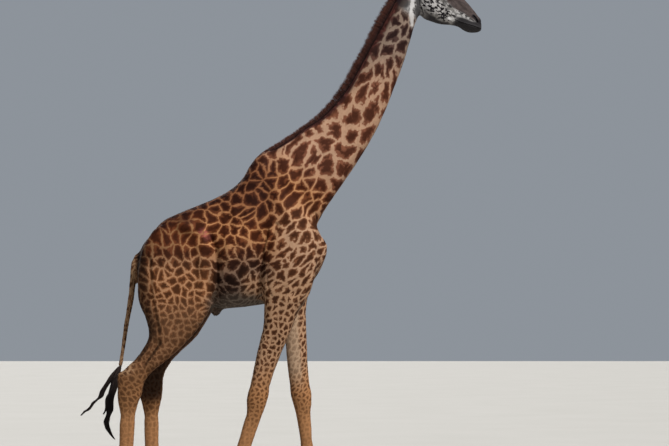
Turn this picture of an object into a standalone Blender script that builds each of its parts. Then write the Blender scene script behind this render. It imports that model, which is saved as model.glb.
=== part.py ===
"""A bull giraffe, life size, standing in mid stride with its head held forward.

Metres, +Z up. The animal faces +X, so its right side is at -Y, and it stands on z = 0.
The flesh is modelled whole, as lofts through a few stations each, fused and softened,
and is then parted with thin cuts into head, neck, trunk, tail and legs.
Hooves, eyes, ears, horns, mane and tail tassel are pieces of their own.
"""

import math

import bmesh
import bpy
import numpy as np
from mathutils import Matrix, Vector

# Driving dimensions
WITHERS = 3.36  # height of the shoulder hump
HEAD_PITCH = math.radians(32.7)  # how far the nose points below level
MUZZLE = Vector((2.46, 0, 4.63))  # tip of the upper lip
HOOF_LENGTH = 0.27
HOOF_WIDTH = 0.175
HOOF_FRONT = 0.135  # height of the hoof's wall at the toe
HOOF_HEEL = 0.065
HOOF_FORWARD = 0.020  # how far the hoof lies ahead of the leg above it
CLEFT = 0.003  # from the middle of the hoof to each half
EYE_RADIUS = 0.028
EYE_PLACE = (0.452, 0.066, 0.1235)  # behind the muzzle's tip, above the head's axis, and to the side
HORN_LENGTH = 0.205
HORN_RADIUS = 0.033
HORN_PLACE = (0.612, 0.168, 0.064)
HORN_LEAN = (-0.30, 0.10, 0.95)
EAR_LENGTH = 0.23
EAR_WALL = 0.009
EAR_CUP = 0.55  # depth of the cup, as a share of the ear's half width
EAR_PLACE = (0.655, 0.085, 0.088)
EAR_POINT = (-0.42, 0.80, 0.42)  # from the root to the tip
EAR_OPENING = (0.55, 0.35, -0.10)
GAP = 0.0004  # between pieces that meet
VOXEL = 0.014
COARSE_RATIO = 0.0185  # of the fused flesh's triangles, for the body and legs
FINE_RATIO = 0.050  # the same, for the head
SIDES = 28  # of a loft's sections
CLAW_SIDES = 8
RIGHT, LEFT = -1, 1

# Each trunk station: back (x, z), belly (x, z), half width, where it is widest, fullness
TRUNK = [
    ((-0.925, 2.330), (-0.920, 2.120), 0.050, 0.50, 1.0),
    ((-0.890, 2.430), (-0.915, 2.000), 0.135, 0.50, 1.0),
    ((-0.800, 2.545), (-0.855, 1.895), 0.225, 0.50, 0.9),
    ((-0.700, 2.665), (-0.755, 1.835), 0.265, 0.52, 0.8),
    ((-0.530, 2.755), (-0.560, 1.820), 0.296, 0.50, 0.8),
    ((-0.330, 2.838), (-0.350, 1.820), 0.328, 0.42, 0.8),
    ((-0.140, 2.920), (-0.140, 1.816), 0.352, 0.38, 0.8),
    ((0.020, 3.015), (0.020, 1.820), 0.360, 0.36, 0.8),
    ((0.110, 3.112), (0.150, 1.832), 0.350, 0.36, 0.8),
    ((0.185, 3.245), (0.300, 1.855), 0.326, 0.36, 0.8),
    ((0.290, WITHERS), (0.460, 1.890), 0.294, 0.36, 0.8),
    ((0.430, 3.380), (0.620, 1.950), 0.272, 0.38, 0.8),
    ((0.580, 3.250), (0.750, 2.030), 0.258, 0.40, 0.8),
    ((0.710, 3.000), (0.835, 2.130), 0.242, 0.42, 0.85),
    ((0.805, 2.720), (0.890, 2.235), 0.215, 0.45, 0.9),
    ((0.890, 2.490), (0.915, 2.330), 0.130, 0.50, 1.0),
]

# Each neck station: nape (x, z), throat (x, z), half width, where it is widest, fullness
NECK = [
    ((0.300, 3.310), (0.690, 2.480), 0.265, 0.42, 0.85),
    ((0.450, 3.405), (0.825, 2.630), 0.250, 0.42, 0.85),
    ((0.600, 3.500), (0.930, 2.815), 0.222, 0.42, 0.85),
    ((0.730, 3.600), (1.045, 2.975), 0.196, 0.42, 0.85),
    ((0.850, 3.675), (1.150, 3.130), 0.176, 0.42, 0.85),
    ((0.945, 3.755), (1.250, 3.280), 0.157, 0.42, 0.85),
    ((1.025, 3.840), (1.340, 3.420), 0.148, 0.43, 0.85),
    ((1.155, 4.015), (1.500, 3.730), 0.135, 0.44, 0.85),
    ((1.290, 4.255), (1.625, 4.050), 0.126, 0.45, 0.85),
    ((1.420, 4.495), (1.735, 4.360), 0.118, 0.46, 0.85),
    ((1.500, 4.650), (1.790, 4.560), 0.113, 0.47, 0.85),
    ((1.600, 4.830), (1.850, 4.735), 0.110, 0.48, 0.85),
    ((1.690, 4.980), (1.940, 4.880), 0.108, 0.50, 0.9),
    ((1.790, 5.080), (2.000, 4.980), 0.090, 0.50, 1.0),
]

# Each head station, from the muzzle back: distance, top, bottom, half width, widest at, fullness
HEAD = [
    (-0.032, -0.020, -0.052, 0.030, 0.45, 0.9),
    (-0.015, 0.008, -0.072, 0.052, 0.42, 0.8),
    (0.020, 0.034, -0.098, 0.068, 0.42, 0.75),
    (0.060, 0.060, -0.120, 0.076, 0.45, 0.75),
    (0.110, 0.082, -0.130, 0.077, 0.50, 0.75),
    (0.165, 0.100, -0.126, 0.071, 0.50, 0.8),
    (0.255, 0.127, -0.157, 0.073, 0.46, 0.8),
    (0.340, 0.142, -0.202, 0.089, 0.46, 0.8),
    (0.430, 0.160, -0.226, 0.108, 0.50, 0.8),
    (0.520, 0.178, -0.240, 0.120, 0.55, 0.8),
    (0.600, 0.178, -0.205, 0.118, 0.58, 0.85),
    (0.680, 0.165, -0.130, 0.108, 0.55, 0.9),
    (0.755, 0.120, -0.070, 0.090, 0.50, 1.0),
    (0.795, 0.065, -0.010, 0.045, 0.50, 1.0),
]

# Each limb station: centre (x, y, z), half depth fore and aft, half width, fullness
FORELEG_TOP = [
    ((0.380, 0.155, 3.120), 0.090, 0.065, 1.0),
    ((0.440, 0.195, 2.900), 0.170, 0.090, 1.0),
    ((0.510, 0.225, 2.680), 0.240, 0.100, 0.9),
    ((0.555, 0.240, 2.440), 0.270, 0.105, 0.85),
    ((0.570, 0.238, 2.220), 0.270, 0.112, 0.85),
]
FORELEG_RIGHT = [
    ((0.545, 0.220, 2.010), 0.235, 0.115, 0.85),
    ((0.490, 0.215, 1.800), 0.170, 0.105, 0.85),
    ((0.450, 0.205, 1.620), 0.138, 0.095, 0.9),
    ((0.385, 0.195, 1.420), 0.117, 0.084, 0.9),
    ((0.328, 0.185, 1.230), 0.101, 0.076, 0.9),
    ((0.282, 0.180, 1.050), 0.092, 0.072, 0.85),
    ((0.256, 0.178, 0.920), 0.094, 0.076, 0.8),
    ((0.240, 0.177, 0.830), 0.087, 0.070, 0.8),
    ((0.218, 0.176, 0.750), 0.075, 0.057, 0.85),
    ((0.175, 0.175, 0.610), 0.071, 0.050, 0.9),
    ((0.125, 0.175, 0.450), 0.067, 0.048, 0.9),
    ((0.085, 0.175, 0.310), 0.073, 0.055, 0.85),
    ((0.070, 0.175, 0.235), 0.078, 0.064, 0.8),
    ((0.080, 0.175, 0.160), 0.070, 0.062, 0.8),
    ((0.095, 0.175, 0.100), 0.082, 0.070, 0.8),
    ((0.105, 0.175, 0.040), 0.085, 0.070, 0.8),
]
FORELEG_LEFT = [
    ((0.565, 0.220, 2.010), 0.205, 0.115, 0.85),
    ((0.582, 0.215, 1.800), 0.152, 0.105, 0.85),
    ((0.618, 0.205, 1.620), 0.116, 0.095, 0.9),
    ((0.635, 0.195, 1.420), 0.104, 0.084, 0.9),
    ((0.648, 0.185, 1.230), 0.100, 0.076, 0.9),
    ((0.668, 0.180, 1.050), 0.096, 0.072, 0.85),
    ((0.688, 0.178, 0.920), 0.094, 0.076, 0.8),
    ((0.698, 0.177, 0.830), 0.086, 0.070, 0.8),
    ((0.706, 0.176, 0.750), 0.072, 0.057, 0.85),
    ((0.722, 0.175, 0.610), 0.062, 0.050, 0.9),
    ((0.740, 0.175, 0.450), 0.061, 0.048, 0.9),
    ((0.758, 0.175, 0.310), 0.070, 0.055, 0.85),
    ((0.775, 0.175, 0.235), 0.078, 0.064, 0.8),
    ((0.810, 0.175, 0.160), 0.070, 0.062, 0.8),
    ((0.835, 0.175, 0.100), 0.082, 0.070, 0.8),
    ((0.855, 0.175, 0.040), 0.085, 0.070, 0.8),
]
HIND_TOP = [
    ((-0.620, 0.145, 2.620), 0.150, 0.090, 1.0),
    ((-0.590, 0.185, 2.450), 0.290, 0.125, 0.9),
    ((-0.560, 0.215, 2.220), 0.355, 0.140, 0.85),
    ((-0.548, 0.232, 2.000), 0.368, 0.138, 0.85),
    ((-0.556, 0.238, 1.820), 0.345, 0.130, 0.85),
]
HIND_RIGHT = [
    ((-0.590, 0.240, 1.650), 0.255, 0.118, 0.85),
    ((-0.655, 0.235, 1.490), 0.168, 0.098, 0.9),
    ((-0.765, 0.225, 1.345), 0.118, 0.080, 0.9),
    ((-0.872, 0.213, 1.235), 0.102, 0.066, 0.9),
    ((-0.955, 0.205, 1.130), 0.118, 0.066, 0.8),
    ((-0.988, 0.200, 1.020), 0.122, 0.068, 0.8),
    ((-1.003, 0.197, 0.920), 0.100, 0.060, 0.85),
    ((-1.008, 0.195, 0.800), 0.080, 0.050, 0.9),
    ((-1.014, 0.195, 0.630), 0.073, 0.046, 0.9),
    ((-1.022, 0.195, 0.460), 0.071, 0.046, 0.9),
    ((-1.030, 0.195, 0.320), 0.076, 0.054, 0.85),
    ((-1.030, 0.195, 0.240), 0.080, 0.062, 0.8),
    ((-1.000, 0.195, 0.165), 0.070, 0.060, 0.8),
    ((-0.975, 0.195, 0.100), 0.082, 0.068, 0.8),
    ((-0.955, 0.195, 0.040), 0.085, 0.068, 0.8),
]
HIND_LEFT = [
    ((-0.580, 0.240, 1.660), 0.265, 0.118, 0.85),
    ((-0.655, 0.235, 1.480), 0.170, 0.098, 0.9),
    ((-0.722, 0.225, 1.340), 0.120, 0.080, 0.9),
    ((-0.776, 0.213, 1.220), 0.106, 0.066, 0.9),
    ((-0.812, 0.205, 1.110), 0.118, 0.066, 0.8),
    ((-0.818, 0.200, 1.000), 0.118, 0.068, 0.8),
    ((-0.812, 0.197, 0.900), 0.094, 0.060, 0.85),
    ((-0.810, 0.195, 0.790), 0.077, 0.050, 0.9),
    ((-0.808, 0.195, 0.630), 0.072, 0.046, 0.9),
    ((-0.804, 0.195, 0.460), 0.070, 0.046, 0.9),
    ((-0.800, 0.195, 0.320), 0.076, 0.054, 0.85),
    ((-0.794, 0.195, 0.240), 0.080, 0.062, 0.8),
    ((-0.762, 0.195, 0.165), 0.070, 0.060, 0.8),
    ((-0.737, 0.195, 0.100), 0.082, 0.068, 0.8),
    ((-0.717, 0.195, 0.040), 0.085, 0.068, 0.8),
]
TAIL = [
    ((-0.875, 0, 2.350), 0.050, 0.055, 1.0),
    ((-0.925, 0, 2.315), 0.046, 0.050, 1.0),
    ((-0.958, 0, 2.255), 0.040, 0.044, 1.0),
    ((-0.974, 0, 2.130), 0.034, 0.038, 1.0),
    ((-0.998, 0, 1.930), 0.029, 0.032, 1.0),
    ((-1.046, 0, 1.640), 0.024, 0.026, 1.0),
    ((-1.078, 0, 1.400), 0.021, 0.023, 1.0),
    ((-1.104, 0, 1.240), 0.020, 0.022, 1.0),
]

# Bumps of bone and muscle on both sides: centre (x, y, z), radii, tilt about Y in degrees
BUMPS = [
    ((-0.430, 0.250, 2.600), (0.110, 0.065, 0.075), 20),  # point of the hip
    ((-0.870, 0.100, 2.210), (0.070, 0.060, 0.110), 10),  # point of the buttock
    ((-0.290, 0.245, 1.840), (0.100, 0.075, 0.130), 20),  # knee cap
    ((0.835, 0.072, 2.375), (0.108, 0.100, 0.165), 10),  # breast muscle
    ((0.740, 0.215, 2.440), (0.085, 0.070, 0.130), 10),  # point of the shoulder
    ((0.420, 0.215, 1.985), (0.090, 0.070, 0.130), -20),  # point of the elbow
]
# The point of each hock: how far behind, above the joint's centre, and its radii
HOCK_POINT = (-0.082, 0.115)
HOCK_RADII = (0.045, 0.036, 0.070)


def clear_scene():
    for obj in list(bpy.data.objects):
        bpy.data.objects.remove(obj, do_unlink=True)


def material(name, colour, roughness):
    made = bpy.data.materials.new(name)
    made.use_nodes = True
    shader = made.node_tree.nodes["Principled BSDF"]
    shader.inputs["Base Color"].default_value = (*colour, 1)
    shader.inputs["Roughness"].default_value = roughness
    shader.inputs["Metallic"].default_value = 0
    return made


def new_object(name, mesh, collection):
    obj = bpy.data.objects.new(name, mesh)
    collection.objects.link(obj)
    return obj


def mesh_from(bm, name):
    bmesh.ops.recalc_face_normals(bm, faces=bm.faces)
    mesh = bpy.data.meshes.new(name)
    bm.to_mesh(mesh)
    bm.free()
    return mesh


def resampled(rows, spacing):
    """Rows of numbers on a smooth curve through the given rows, about this far apart."""
    rows = np.array(rows, float)
    steps = np.linalg.norm(np.diff(rows[:, :3], axis=0), axis=1)
    along = np.concatenate([[0], np.cumsum(steps)])
    slope = np.gradient(rows, along, axis=0)
    at = np.linspace(0, along[-1], max(2, round(along[-1] / spacing)))
    i = np.clip(np.searchsorted(along, at, side="right") - 1, 0, len(rows) - 2)
    span = (along[i + 1] - along[i])[:, None]
    t = (at - along[i])[:, None] / span
    return (
        rows[i] * (2 * t**3 - 3 * t**2 + 1)
        + slope[i] * span * (t**3 - 2 * t**2 + t)
        + rows[i + 1] * (3 * t**2 - 2 * t**3)
        + slope[i + 1] * span * (t**3 - t**2)
    )


def section(top, bottom, half_width, widest, fullness):
    """A closed ring in the plane of the Y axis and the line from bottom to top."""
    points = []
    for k in range(SIDES):
        turn = 2 * math.pi * k / SIDES
        side, rise = math.cos(turn), math.sin(turn)
        rise = math.copysign(abs(rise) ** fullness, rise)
        side = math.copysign(abs(side) ** fullness, side)
        height = widest + rise * (1 - widest if rise > 0 else widest)
        points.append(bottom.lerp(top, height) + Vector((0, side * half_width, 0)))
    return points


def loft(rings, name):
    """A closed mesh through the rings, with flat ends."""
    bm = bmesh.new()
    made = [[bm.verts.new(p) for p in ring] for ring in rings]
    for a, b in zip(made, made[1:]):
        for k in range(SIDES):
            after = (k + 1) % SIDES
            bm.faces.new((a[k], a[after], b[after], b[k]))
    bm.faces.new(made[0])
    bm.faces.new(made[-1])
    return mesh_from(bm, name)


def slab_loft(stations, name):
    """A loft of the trunk or the neck, whose stations give back and belly points."""
    rows = [(*top, *bottom, *rest) for top, bottom, *rest in stations]
    rings = []
    for tx, tz, bx, bz, half_width, widest, fullness in resampled(rows, 0.03):
        top, bottom = Vector((tx, 0, tz)), Vector((bx, 0, bz))
        rings.append(section(top, bottom, half_width, widest, fullness))
    return loft(rings, name)


def head_point(back, up, side=0.0):
    """The place in the world of a point given along the head, above its axis and to a side."""
    axis = Vector((-math.cos(HEAD_PITCH), 0, math.sin(HEAD_PITCH)))
    dorsal = Vector((math.sin(HEAD_PITCH), 0, math.cos(HEAD_PITCH)))
    return MUZZLE + axis * back + dorsal * up + Vector((0, side, 0))


def head_loft():
    rings = []
    for back, top, bottom, half_width, widest, fullness in resampled(HEAD, 0.012):
        rings.append(
            section(
                head_point(back, top),
                head_point(back, bottom),
                half_width,
                widest,
                fullness,
            )
        )
    return loft(rings, "head_loft")


def limb_loft(stations, side, name):
    """A loft whose sections stand square to the line through the stations' centres."""
    rows = [(x, y * side, z, *rest) for (x, y, z), *rest in stations]
    rows = resampled(rows, 0.025)
    tangents = np.gradient(rows[:, :3], axis=0)
    rings = []
    for (x, y, z, depth, width, fullness), tangent in zip(rows, tangents):
        fore = Vector((-tangent[2], 0, tangent[0])).normalized()
        centre = Vector((x, y, z))
        rings.append(
            section(
                centre + fore * depth, centre - fore * depth, width, 0.5, fullness
            )
        )
    return loft(rings, name)


def ellipsoid(centre, radii, tilt, name):
    bm = bmesh.new()
    bmesh.ops.create_uvsphere(bm, u_segments=24, v_segments=16, radius=1)
    shape = (
        Matrix.Translation(centre)
        @ Matrix.Rotation(math.radians(tilt), 4, "Y")
        @ Matrix.Diagonal((*radii, 1))
    )
    bmesh.ops.transform(bm, matrix=shape, verts=bm.verts)
    return mesh_from(bm, name)


def both_sides(centre):
    x, y, z = centre
    return [(x, y * side, z) for side in (RIGHT, LEFT)]


def hock_of(stations):
    """The centre of a hind leg's hock, which is the sixth station below the thigh."""
    return Vector(stations[5][0])


def hock_points():
    """The heel bone and the tendon that runs up from it, on each hind leg."""
    meshes = []
    for side, stations in ((RIGHT, HIND_RIGHT), (LEFT, HIND_LEFT)):
        hock = hock_of(stations)
        heel = Vector((hock.x + HOCK_POINT[0], hock.y * side, hock.z + HOCK_POINT[1]))
        meshes.append(ellipsoid(heel, HOCK_RADII, 15, "heel_bone"))
        calf = Vector(stations[1][0]) + Vector((-0.085, 0, 0))
        tendon = [
            ((heel.x, hock.y, heel.z), 0.030, 0.024, 1.0),
            (tuple((Vector((heel.x, hock.y, heel.z)) + calf) / 2), 0.026, 0.022, 1.0),
            (tuple(calf), 0.060, 0.030, 1.0),
        ]
        meshes.append(limb_loft(tendon, side, "heel_tendon"))
    return meshes


def head_bumps():
    """Brow and cheek bones, the forehead's knob and the base of each horn."""
    tilt = math.degrees(HEAD_PITCH)
    meshes = [
        ellipsoid(head_point(0.530, 0.160), (0.100, 0.055, 0.050), tilt, "forehead")
    ]
    for side in (RIGHT, LEFT):
        for back, up, out, radii in (
            (0.455, 0.064, 0.100, (0.074, 0.046, 0.052)),  # round the eye
            (0.400, -0.005, 0.080, (0.110, 0.032, 0.035)),  # cheek bone
            (0.480, -0.120, 0.078, (0.100, 0.050, 0.090)),  # jaw muscle
            (0.600, 0.165, 0.062, (0.055, 0.045, 0.045)),  # base of the horn
            (0.052, 0.022, 0.048, (0.045, 0.030, 0.035)),  # side of the nose
        ):
            centre = head_point(back, up, out * side)
            meshes.append(ellipsoid(centre, radii, tilt, "head_bump"))
    return meshes


def flesh_meshes():
    """Everything that is fused into the flesh."""
    meshes = [
        slab_loft(TRUNK, "trunk_loft"),
        slab_loft(NECK, "neck_loft"),
        head_loft(),
        limb_loft(FORELEG_TOP + FORELEG_RIGHT, RIGHT, "foreleg_right_loft"),
        limb_loft(FORELEG_TOP + FORELEG_LEFT, LEFT, "foreleg_left_loft"),
        limb_loft(HIND_TOP + HIND_RIGHT, RIGHT, "hind_right_loft"),
        limb_loft(HIND_TOP + HIND_LEFT, LEFT, "hind_left_loft"),
        limb_loft(TAIL, RIGHT, "tail_loft"),
        ellipsoid((-0.160, 0, 1.800), (0.062, 0.045, 0.075), 0, "sheath"),
    ]
    for centre, radii, tilt in BUMPS:
        for place in both_sides(centre):
            meshes.append(ellipsoid(place, radii, tilt, "bump"))
    return meshes + hock_points() + head_bumps()


def softness(z, x):
    """How much the fused flesh is smoothed at a place: most on the trunk, least on feet and face."""
    on_head = max(0.0, min(1.0, (x - 1.75) / 0.15)) if z > 4.3 else 0.0
    on_leg = max(0.0, min(1.0, (1.9 - z) / 0.4))
    behind = max(0.0, min(1.0, (-0.93 - x) / 0.02))
    return max(0.06, 1 - 0.85 * max(on_head, on_leg) - behind)


def apply_modifiers(obj):
    """Replaces obj's mesh by what its modifiers make of it."""
    graph = bpy.context.evaluated_depsgraph_get()
    mesh = bpy.data.meshes.new_from_object(obj.evaluated_get(graph))
    obj.modifiers.clear()
    obj.data = mesh


def fused_flesh(collection):
    """The whole animal's flesh as one smooth closed mesh."""
    bm = bmesh.new()
    for mesh in flesh_meshes():
        bm.from_mesh(mesh)
    body = bpy.data.meshes.new("flesh")
    bm.to_mesh(body)
    bm.free()
    obj = new_object("flesh", body, collection)
    fuse = obj.modifiers.new("fuse", "REMESH")
    fuse.mode = "VOXEL"
    fuse.voxel_size = VOXEL
    apply_modifiers(obj)
    group = obj.vertex_groups.new(name="soft")
    for vertex in obj.data.vertices:
        group.add([vertex.index], softness(vertex.co.z, vertex.co.x), "REPLACE")
    smooth = obj.modifiers.new("soften", "SMOOTH")
    smooth.factor = 0.5
    smooth.iterations = 14
    smooth.vertex_group = "soft"
    apply_modifiers(obj)
    return obj


def thinned(obj, ratio, name, collection):
    """A copy with fewer triangles."""
    copy = new_object(name, obj.data.copy(), collection)
    thin = copy.modifiers.new("thin", "DECIMATE")
    thin.ratio = ratio
    thin.use_collapse_triangulate = True
    apply_modifiers(copy)
    return copy


def half_space(point, normal, grow, collection, size=3.0):
    """A cutter: a cube whose one face lies at point, with the cube on normal's side."""
    normal = Vector(normal).normalized()
    bm = bmesh.new()
    bmesh.ops.create_cube(bm, size=size)
    turn = normal.to_track_quat("Z", "Y").to_matrix().to_4x4()
    centre = Vector(point) + normal * (size / 2 - grow)
    bmesh.ops.transform(bm, matrix=Matrix.Translation(centre) @ turn, verts=bm.verts)
    return new_object("half_space", mesh_from(bm, "half_space"), collection)


def prism(outline, near, far, collection):
    """A cutter: an outline in the XZ plane carried from y = near to y = far."""
    bm = bmesh.new()
    face = bm.faces.new([bm.verts.new((x, near, z)) for x, z in outline])
    made = bmesh.ops.extrude_face_region(bm, geom=[face])["geom"]
    moved = [v for v in made if isinstance(v, bmesh.types.BMVert)]
    bmesh.ops.translate(bm, verts=moved, vec=(0, far - near, 0))
    return new_object("prism", mesh_from(bm, "prism"), collection)


def arch(centre, radii, feet, grow):
    """An outline: an ellipse's upper half standing on two feet that reach below the floor."""
    points = []
    for k in range(13):
        turn = math.pi * k / 12
        points.append(
            (
                centre[0] + (radii[0] + grow) * math.cos(turn),
                centre[1] + (radii[1] + grow) * math.sin(turn),
            )
        )
    return points + [(feet[0] - grow, -0.1), (feet[1] + grow, -0.1)]


def combined(target, cutter, operation):
    cut = target.modifiers.new("cut", "BOOLEAN")
    cut.operation = operation
    cut.solver = "EXACT"
    cut.object = cutter
    apply_modifiers(target)


# The cuts: a point and the direction of the piece that is cut off
HEAD_CUT = (Vector((1.815, 0, 4.660)), Vector((0.90, 0, 0.30)))
NECK_CUT = (Vector((0.860, 0, 2.680)), Vector((0.80, 0, 0.56)))
FORE_ARCH = ((0.600, 2.050), (0.335, 0.520), (-0.30, 1.20))
HIND_ARCH = ((-0.560, 2.000), (0.400, 0.480), (-1.45, -0.30))
TAIL_END = Vector((-1.1035, 0, 1.245))  # where the tassel begins
TAIL_END_UP = Vector((0.17, 0, 0.98))
UNDERSIDE = 1.812  # legs reach the middle of the body only below this
LEG_ROOT = 0.125  # a leg's cut face inside the body, from the middle plane
LEG_INNER = 0.085  # the same below the belly


def leg_cutter(place, side, grow, cutters):
    """The region of one leg: an arch on the body's side, and all of that leg below the belly."""
    centre, radii, feet = place
    outline = arch(centre, radii, feet, grow)
    region = prism(outline, side * (LEG_INNER - grow), side * 0.8, cutters)
    core = [(-2, UNDERSIDE + grow), (2, UNDERSIDE + grow), (2, 5), (-2, 5)]
    inside = prism(core, -side, side * (LEG_ROOT - grow), cutters)
    combined(region, inside, "DIFFERENCE")
    return region


def knee_cut(stations, joint):
    """The cut through a knee or hock: below which the lower leg begins."""
    upper, lower = Vector(stations[joint - 1][0]), Vector(stations[joint + 1][0])
    return Vector(stations[joint][0]), (lower - upper)


def coronet_cut(stations, grow):
    """The slanting plane where the flesh ends and the hoof begins: a point and its normal."""
    toe_end = Vector(stations[-1][0])
    slope = math.atan2(HOOF_FRONT - HOOF_HEEL, HOOF_LENGTH * 0.75)
    middle = Vector((toe_end.x, 0, (HOOF_FRONT + HOOF_HEEL) / 2 + grow))
    return middle, Vector((-math.sin(slope), 0, math.cos(slope)))


LEGS = {
    "foreleg_right": (RIGHT, FORELEG_RIGHT, FORE_ARCH, 6),
    "foreleg_left": (LEFT, FORELEG_LEFT, FORE_ARCH, 6),
    "hindleg_right": (RIGHT, HIND_RIGHT, HIND_ARCH, 6),
    "hindleg_left": (LEFT, HIND_LEFT, HIND_ARCH, 6),
}


def copy_of(obj, name, collection):
    return new_object(name, obj.data.copy(), collection)


def cut_legs(body, parts, cutters):
    for name, (side, stations, place, joint) in LEGS.items():
        whole = copy_of(body, name, parts)
        combined(whole, leg_cutter(place, side, -GAP / 2, cutters), "INTERSECT")
        point, normal = coronet_cut(stations, GAP / 2)
        combined(whole, half_space(point, normal, 0, cutters), "INTERSECT")
        point, down = knee_cut(stations, joint)
        lower = copy_of(whole, name + "_lower", parts)
        combined(lower, half_space(point, down, -GAP / 2, cutters), "INTERSECT")
        combined(whole, half_space(point, down, GAP / 2, cutters), "DIFFERENCE")
        whole.name = name + "_upper"


def cut_tail(body, parts, cutters):
    outline = [(-0.955, 1.1), (-1.4, 1.1), (-1.4, 2.6), (-0.955, 2.6)]
    tail = copy_of(body, "tail", parts)
    combined(tail, prism(outline, -0.07, 0.07, cutters), "INTERSECT")
    end = half_space(TAIL_END, -TAIL_END_UP, GAP / 2, cutters, 1.0)
    combined(tail, end, "DIFFERENCE")


def cut_trunk(body, parts, cutters):
    trunk = copy_of(body, "trunk", parts)
    for side, _, place, _ in LEGS.values():
        combined(trunk, leg_cutter(place, side, GAP / 2, cutters), "DIFFERENCE")
    outline = [(-0.9546, 1.0), (-1.4, 1.0), (-1.4, 2.7), (-0.9546, 2.7)]
    combined(trunk, prism(outline, -0.08, 0.08, cutters), "DIFFERENCE")
    combined(trunk, half_space(*NECK_CUT, GAP / 2, cutters), "DIFFERENCE")


def cut_neck(body, parts, cutters):
    neck = copy_of(body, "neck", parts)
    combined(neck, half_space(*NECK_CUT, -GAP / 2, cutters), "INTERSECT")
    combined(neck, half_space(*HEAD_CUT, GAP / 2, cutters), "DIFFERENCE")


def cut_head(fine, parts, cutters):
    head = copy_of(fine, "head", parts)
    combined(head, half_space(*HEAD_CUT, -GAP / 2, cutters), "INTERSECT")
    return head


def add_eyes(head, parts, cutters):
    for side, name in ((RIGHT, "eye_right"), (LEFT, "eye_left")):
        back, up, out = EYE_PLACE
        place = head_point(back, up, out * side)
        for grow in (0, GAP):
            bm = bmesh.new()
            bmesh.ops.create_uvsphere(
                bm, u_segments=12, v_segments=8, radius=EYE_RADIUS + grow
            )
            bmesh.ops.translate(bm, verts=bm.verts, vec=place)
            mesh = mesh_from(bm, name)
            if grow:
                combined(head, new_object("socket", mesh, cutters), "DIFFERENCE")
            else:
                new_object(name, mesh, parts)


def turned_profile(profile, steps, name, collection):
    """A solid of revolution about Z from (radius, height) points, top first."""
    mesh = bpy.data.meshes.new(name)
    mesh.from_pydata(
        [(r, 0, z) for r, z in profile],
        [(k, k + 1) for k in range(len(profile) - 1)],
        [],
    )
    obj = new_object(name, mesh, collection)
    screw = obj.modifiers.new("turn", "SCREW")
    screw.steps = steps
    screw.render_steps = steps
    screw.use_merge_vertices = True
    screw.merge_threshold = 0.0001
    apply_modifiers(obj)
    return obj


# A horn's profile from the top down: shares of its radius and of its length
HORN_PROFILE = [
    (0.0, 1.00),
    (0.60, 0.985),
    (0.92, 0.93),
    (1.0, 0.86),
    (0.82, 0.66),
    (0.92, 0.35),
    (1.08, 0.05),
    (1.12, -0.18),
    (0.0, -0.18),
]
HORN_STEPS = 10  # round each horn


def mirrored(triple, side):
    """A place or a direction given for the left side, taken to the given side."""
    x, y, z = triple
    return Vector((x, y * side, z))


def add_horns(head, parts):
    """The two skin-covered horns, thick, slightly waisted and blunt."""
    for side, name in ((RIGHT, "horn_right"), (LEFT, "horn_left")):
        points = [(r * HORN_RADIUS, z * HORN_LENGTH) for r, z in HORN_PROFILE]
        horn = turned_profile(points, HORN_STEPS, name, parts)
        back, up, out = HORN_PLACE
        foot = head_point(back, up, out * side)
        lean = mirrored(HORN_LEAN, side)
        turn = lean.to_track_quat("Z", "Y").to_matrix().to_4x4()
        horn.data.transform(Matrix.Translation(foot) @ turn)
        combined(horn, head, "DIFFERENCE")
        horn.data.transform(Matrix.Translation(lean.normalized() * GAP))


# An ear's outline: share of its length from the root, and half width there
EAR_OUTLINE = [
    (0.00, 0.022),
    (0.10, 0.030),
    (0.28, 0.048),
    (0.50, 0.056),
    (0.72, 0.045),
    (0.88, 0.024),
    (1.00, 0.004),
]


def add_ears(head, parts):
    """Long leaf-shaped ears, cupped, with a narrow root."""
    for side, name in ((RIGHT, "ear_right"), (LEFT, "ear_left")):
        bm = bmesh.new()
        rows = []
        for along, half in EAR_OUTLINE:
            row = []
            for k in range(5):
                across = (k - 2) / 2
                depth = EAR_CUP * half * across**2
                row.append(bm.verts.new((half * across, depth, along * EAR_LENGTH)))
            rows.append(row)
        for a, b in zip(rows, rows[1:]):
            for k in range(4):
                bm.faces.new((a[k], a[k + 1], b[k + 1], b[k]))
        ear = new_object(name, mesh_from(bm, name), parts)
        wall = ear.modifiers.new("wall", "SOLIDIFY")
        wall.thickness = EAR_WALL
        wall.offset = 0
        apply_modifiers(ear)
        back, up, out = EAR_PLACE
        root = head_point(back, up, out * side)
        point = mirrored(EAR_POINT, side).normalized()
        opening = mirrored(EAR_OPENING, side)
        across = point.cross(opening).normalized()
        opening = across.cross(point).normalized()
        frame = Matrix((across, opening, point)).transposed().to_4x4()
        if frame.determinant() < 0:
            frame = Matrix((-across, opening, point)).transposed().to_4x4()
        ear.data.transform(Matrix.Translation(root) @ frame)
        combined(ear, head, "DIFFERENCE")
        keep_largest(ear)
        ear.data.transform(Matrix.Translation(point * GAP))


def keep_largest(obj):
    """Drops all but the largest connected piece, as a cut can leave a crumb inside."""
    bm = bmesh.new()
    bm.from_mesh(obj.data)
    bm.verts.ensure_lookup_table()
    seen, islands = set(), []
    for start in bm.verts:
        if start in seen:
            continue
        island, todo = [], [start]
        seen.add(start)
        while todo:
            vertex = todo.pop()
            island.append(vertex)
            for edge in vertex.link_edges:
                other = edge.other_vert(vertex)
                if other not in seen:
                    seen.add(other)
                    todo.append(other)
        islands.append(island)
    islands.sort(key=len)
    for island in islands[:-1]:
        bmesh.ops.delete(bm, geom=island, context="VERTS")
    bm.to_mesh(obj.data)
    bm.free()


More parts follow.
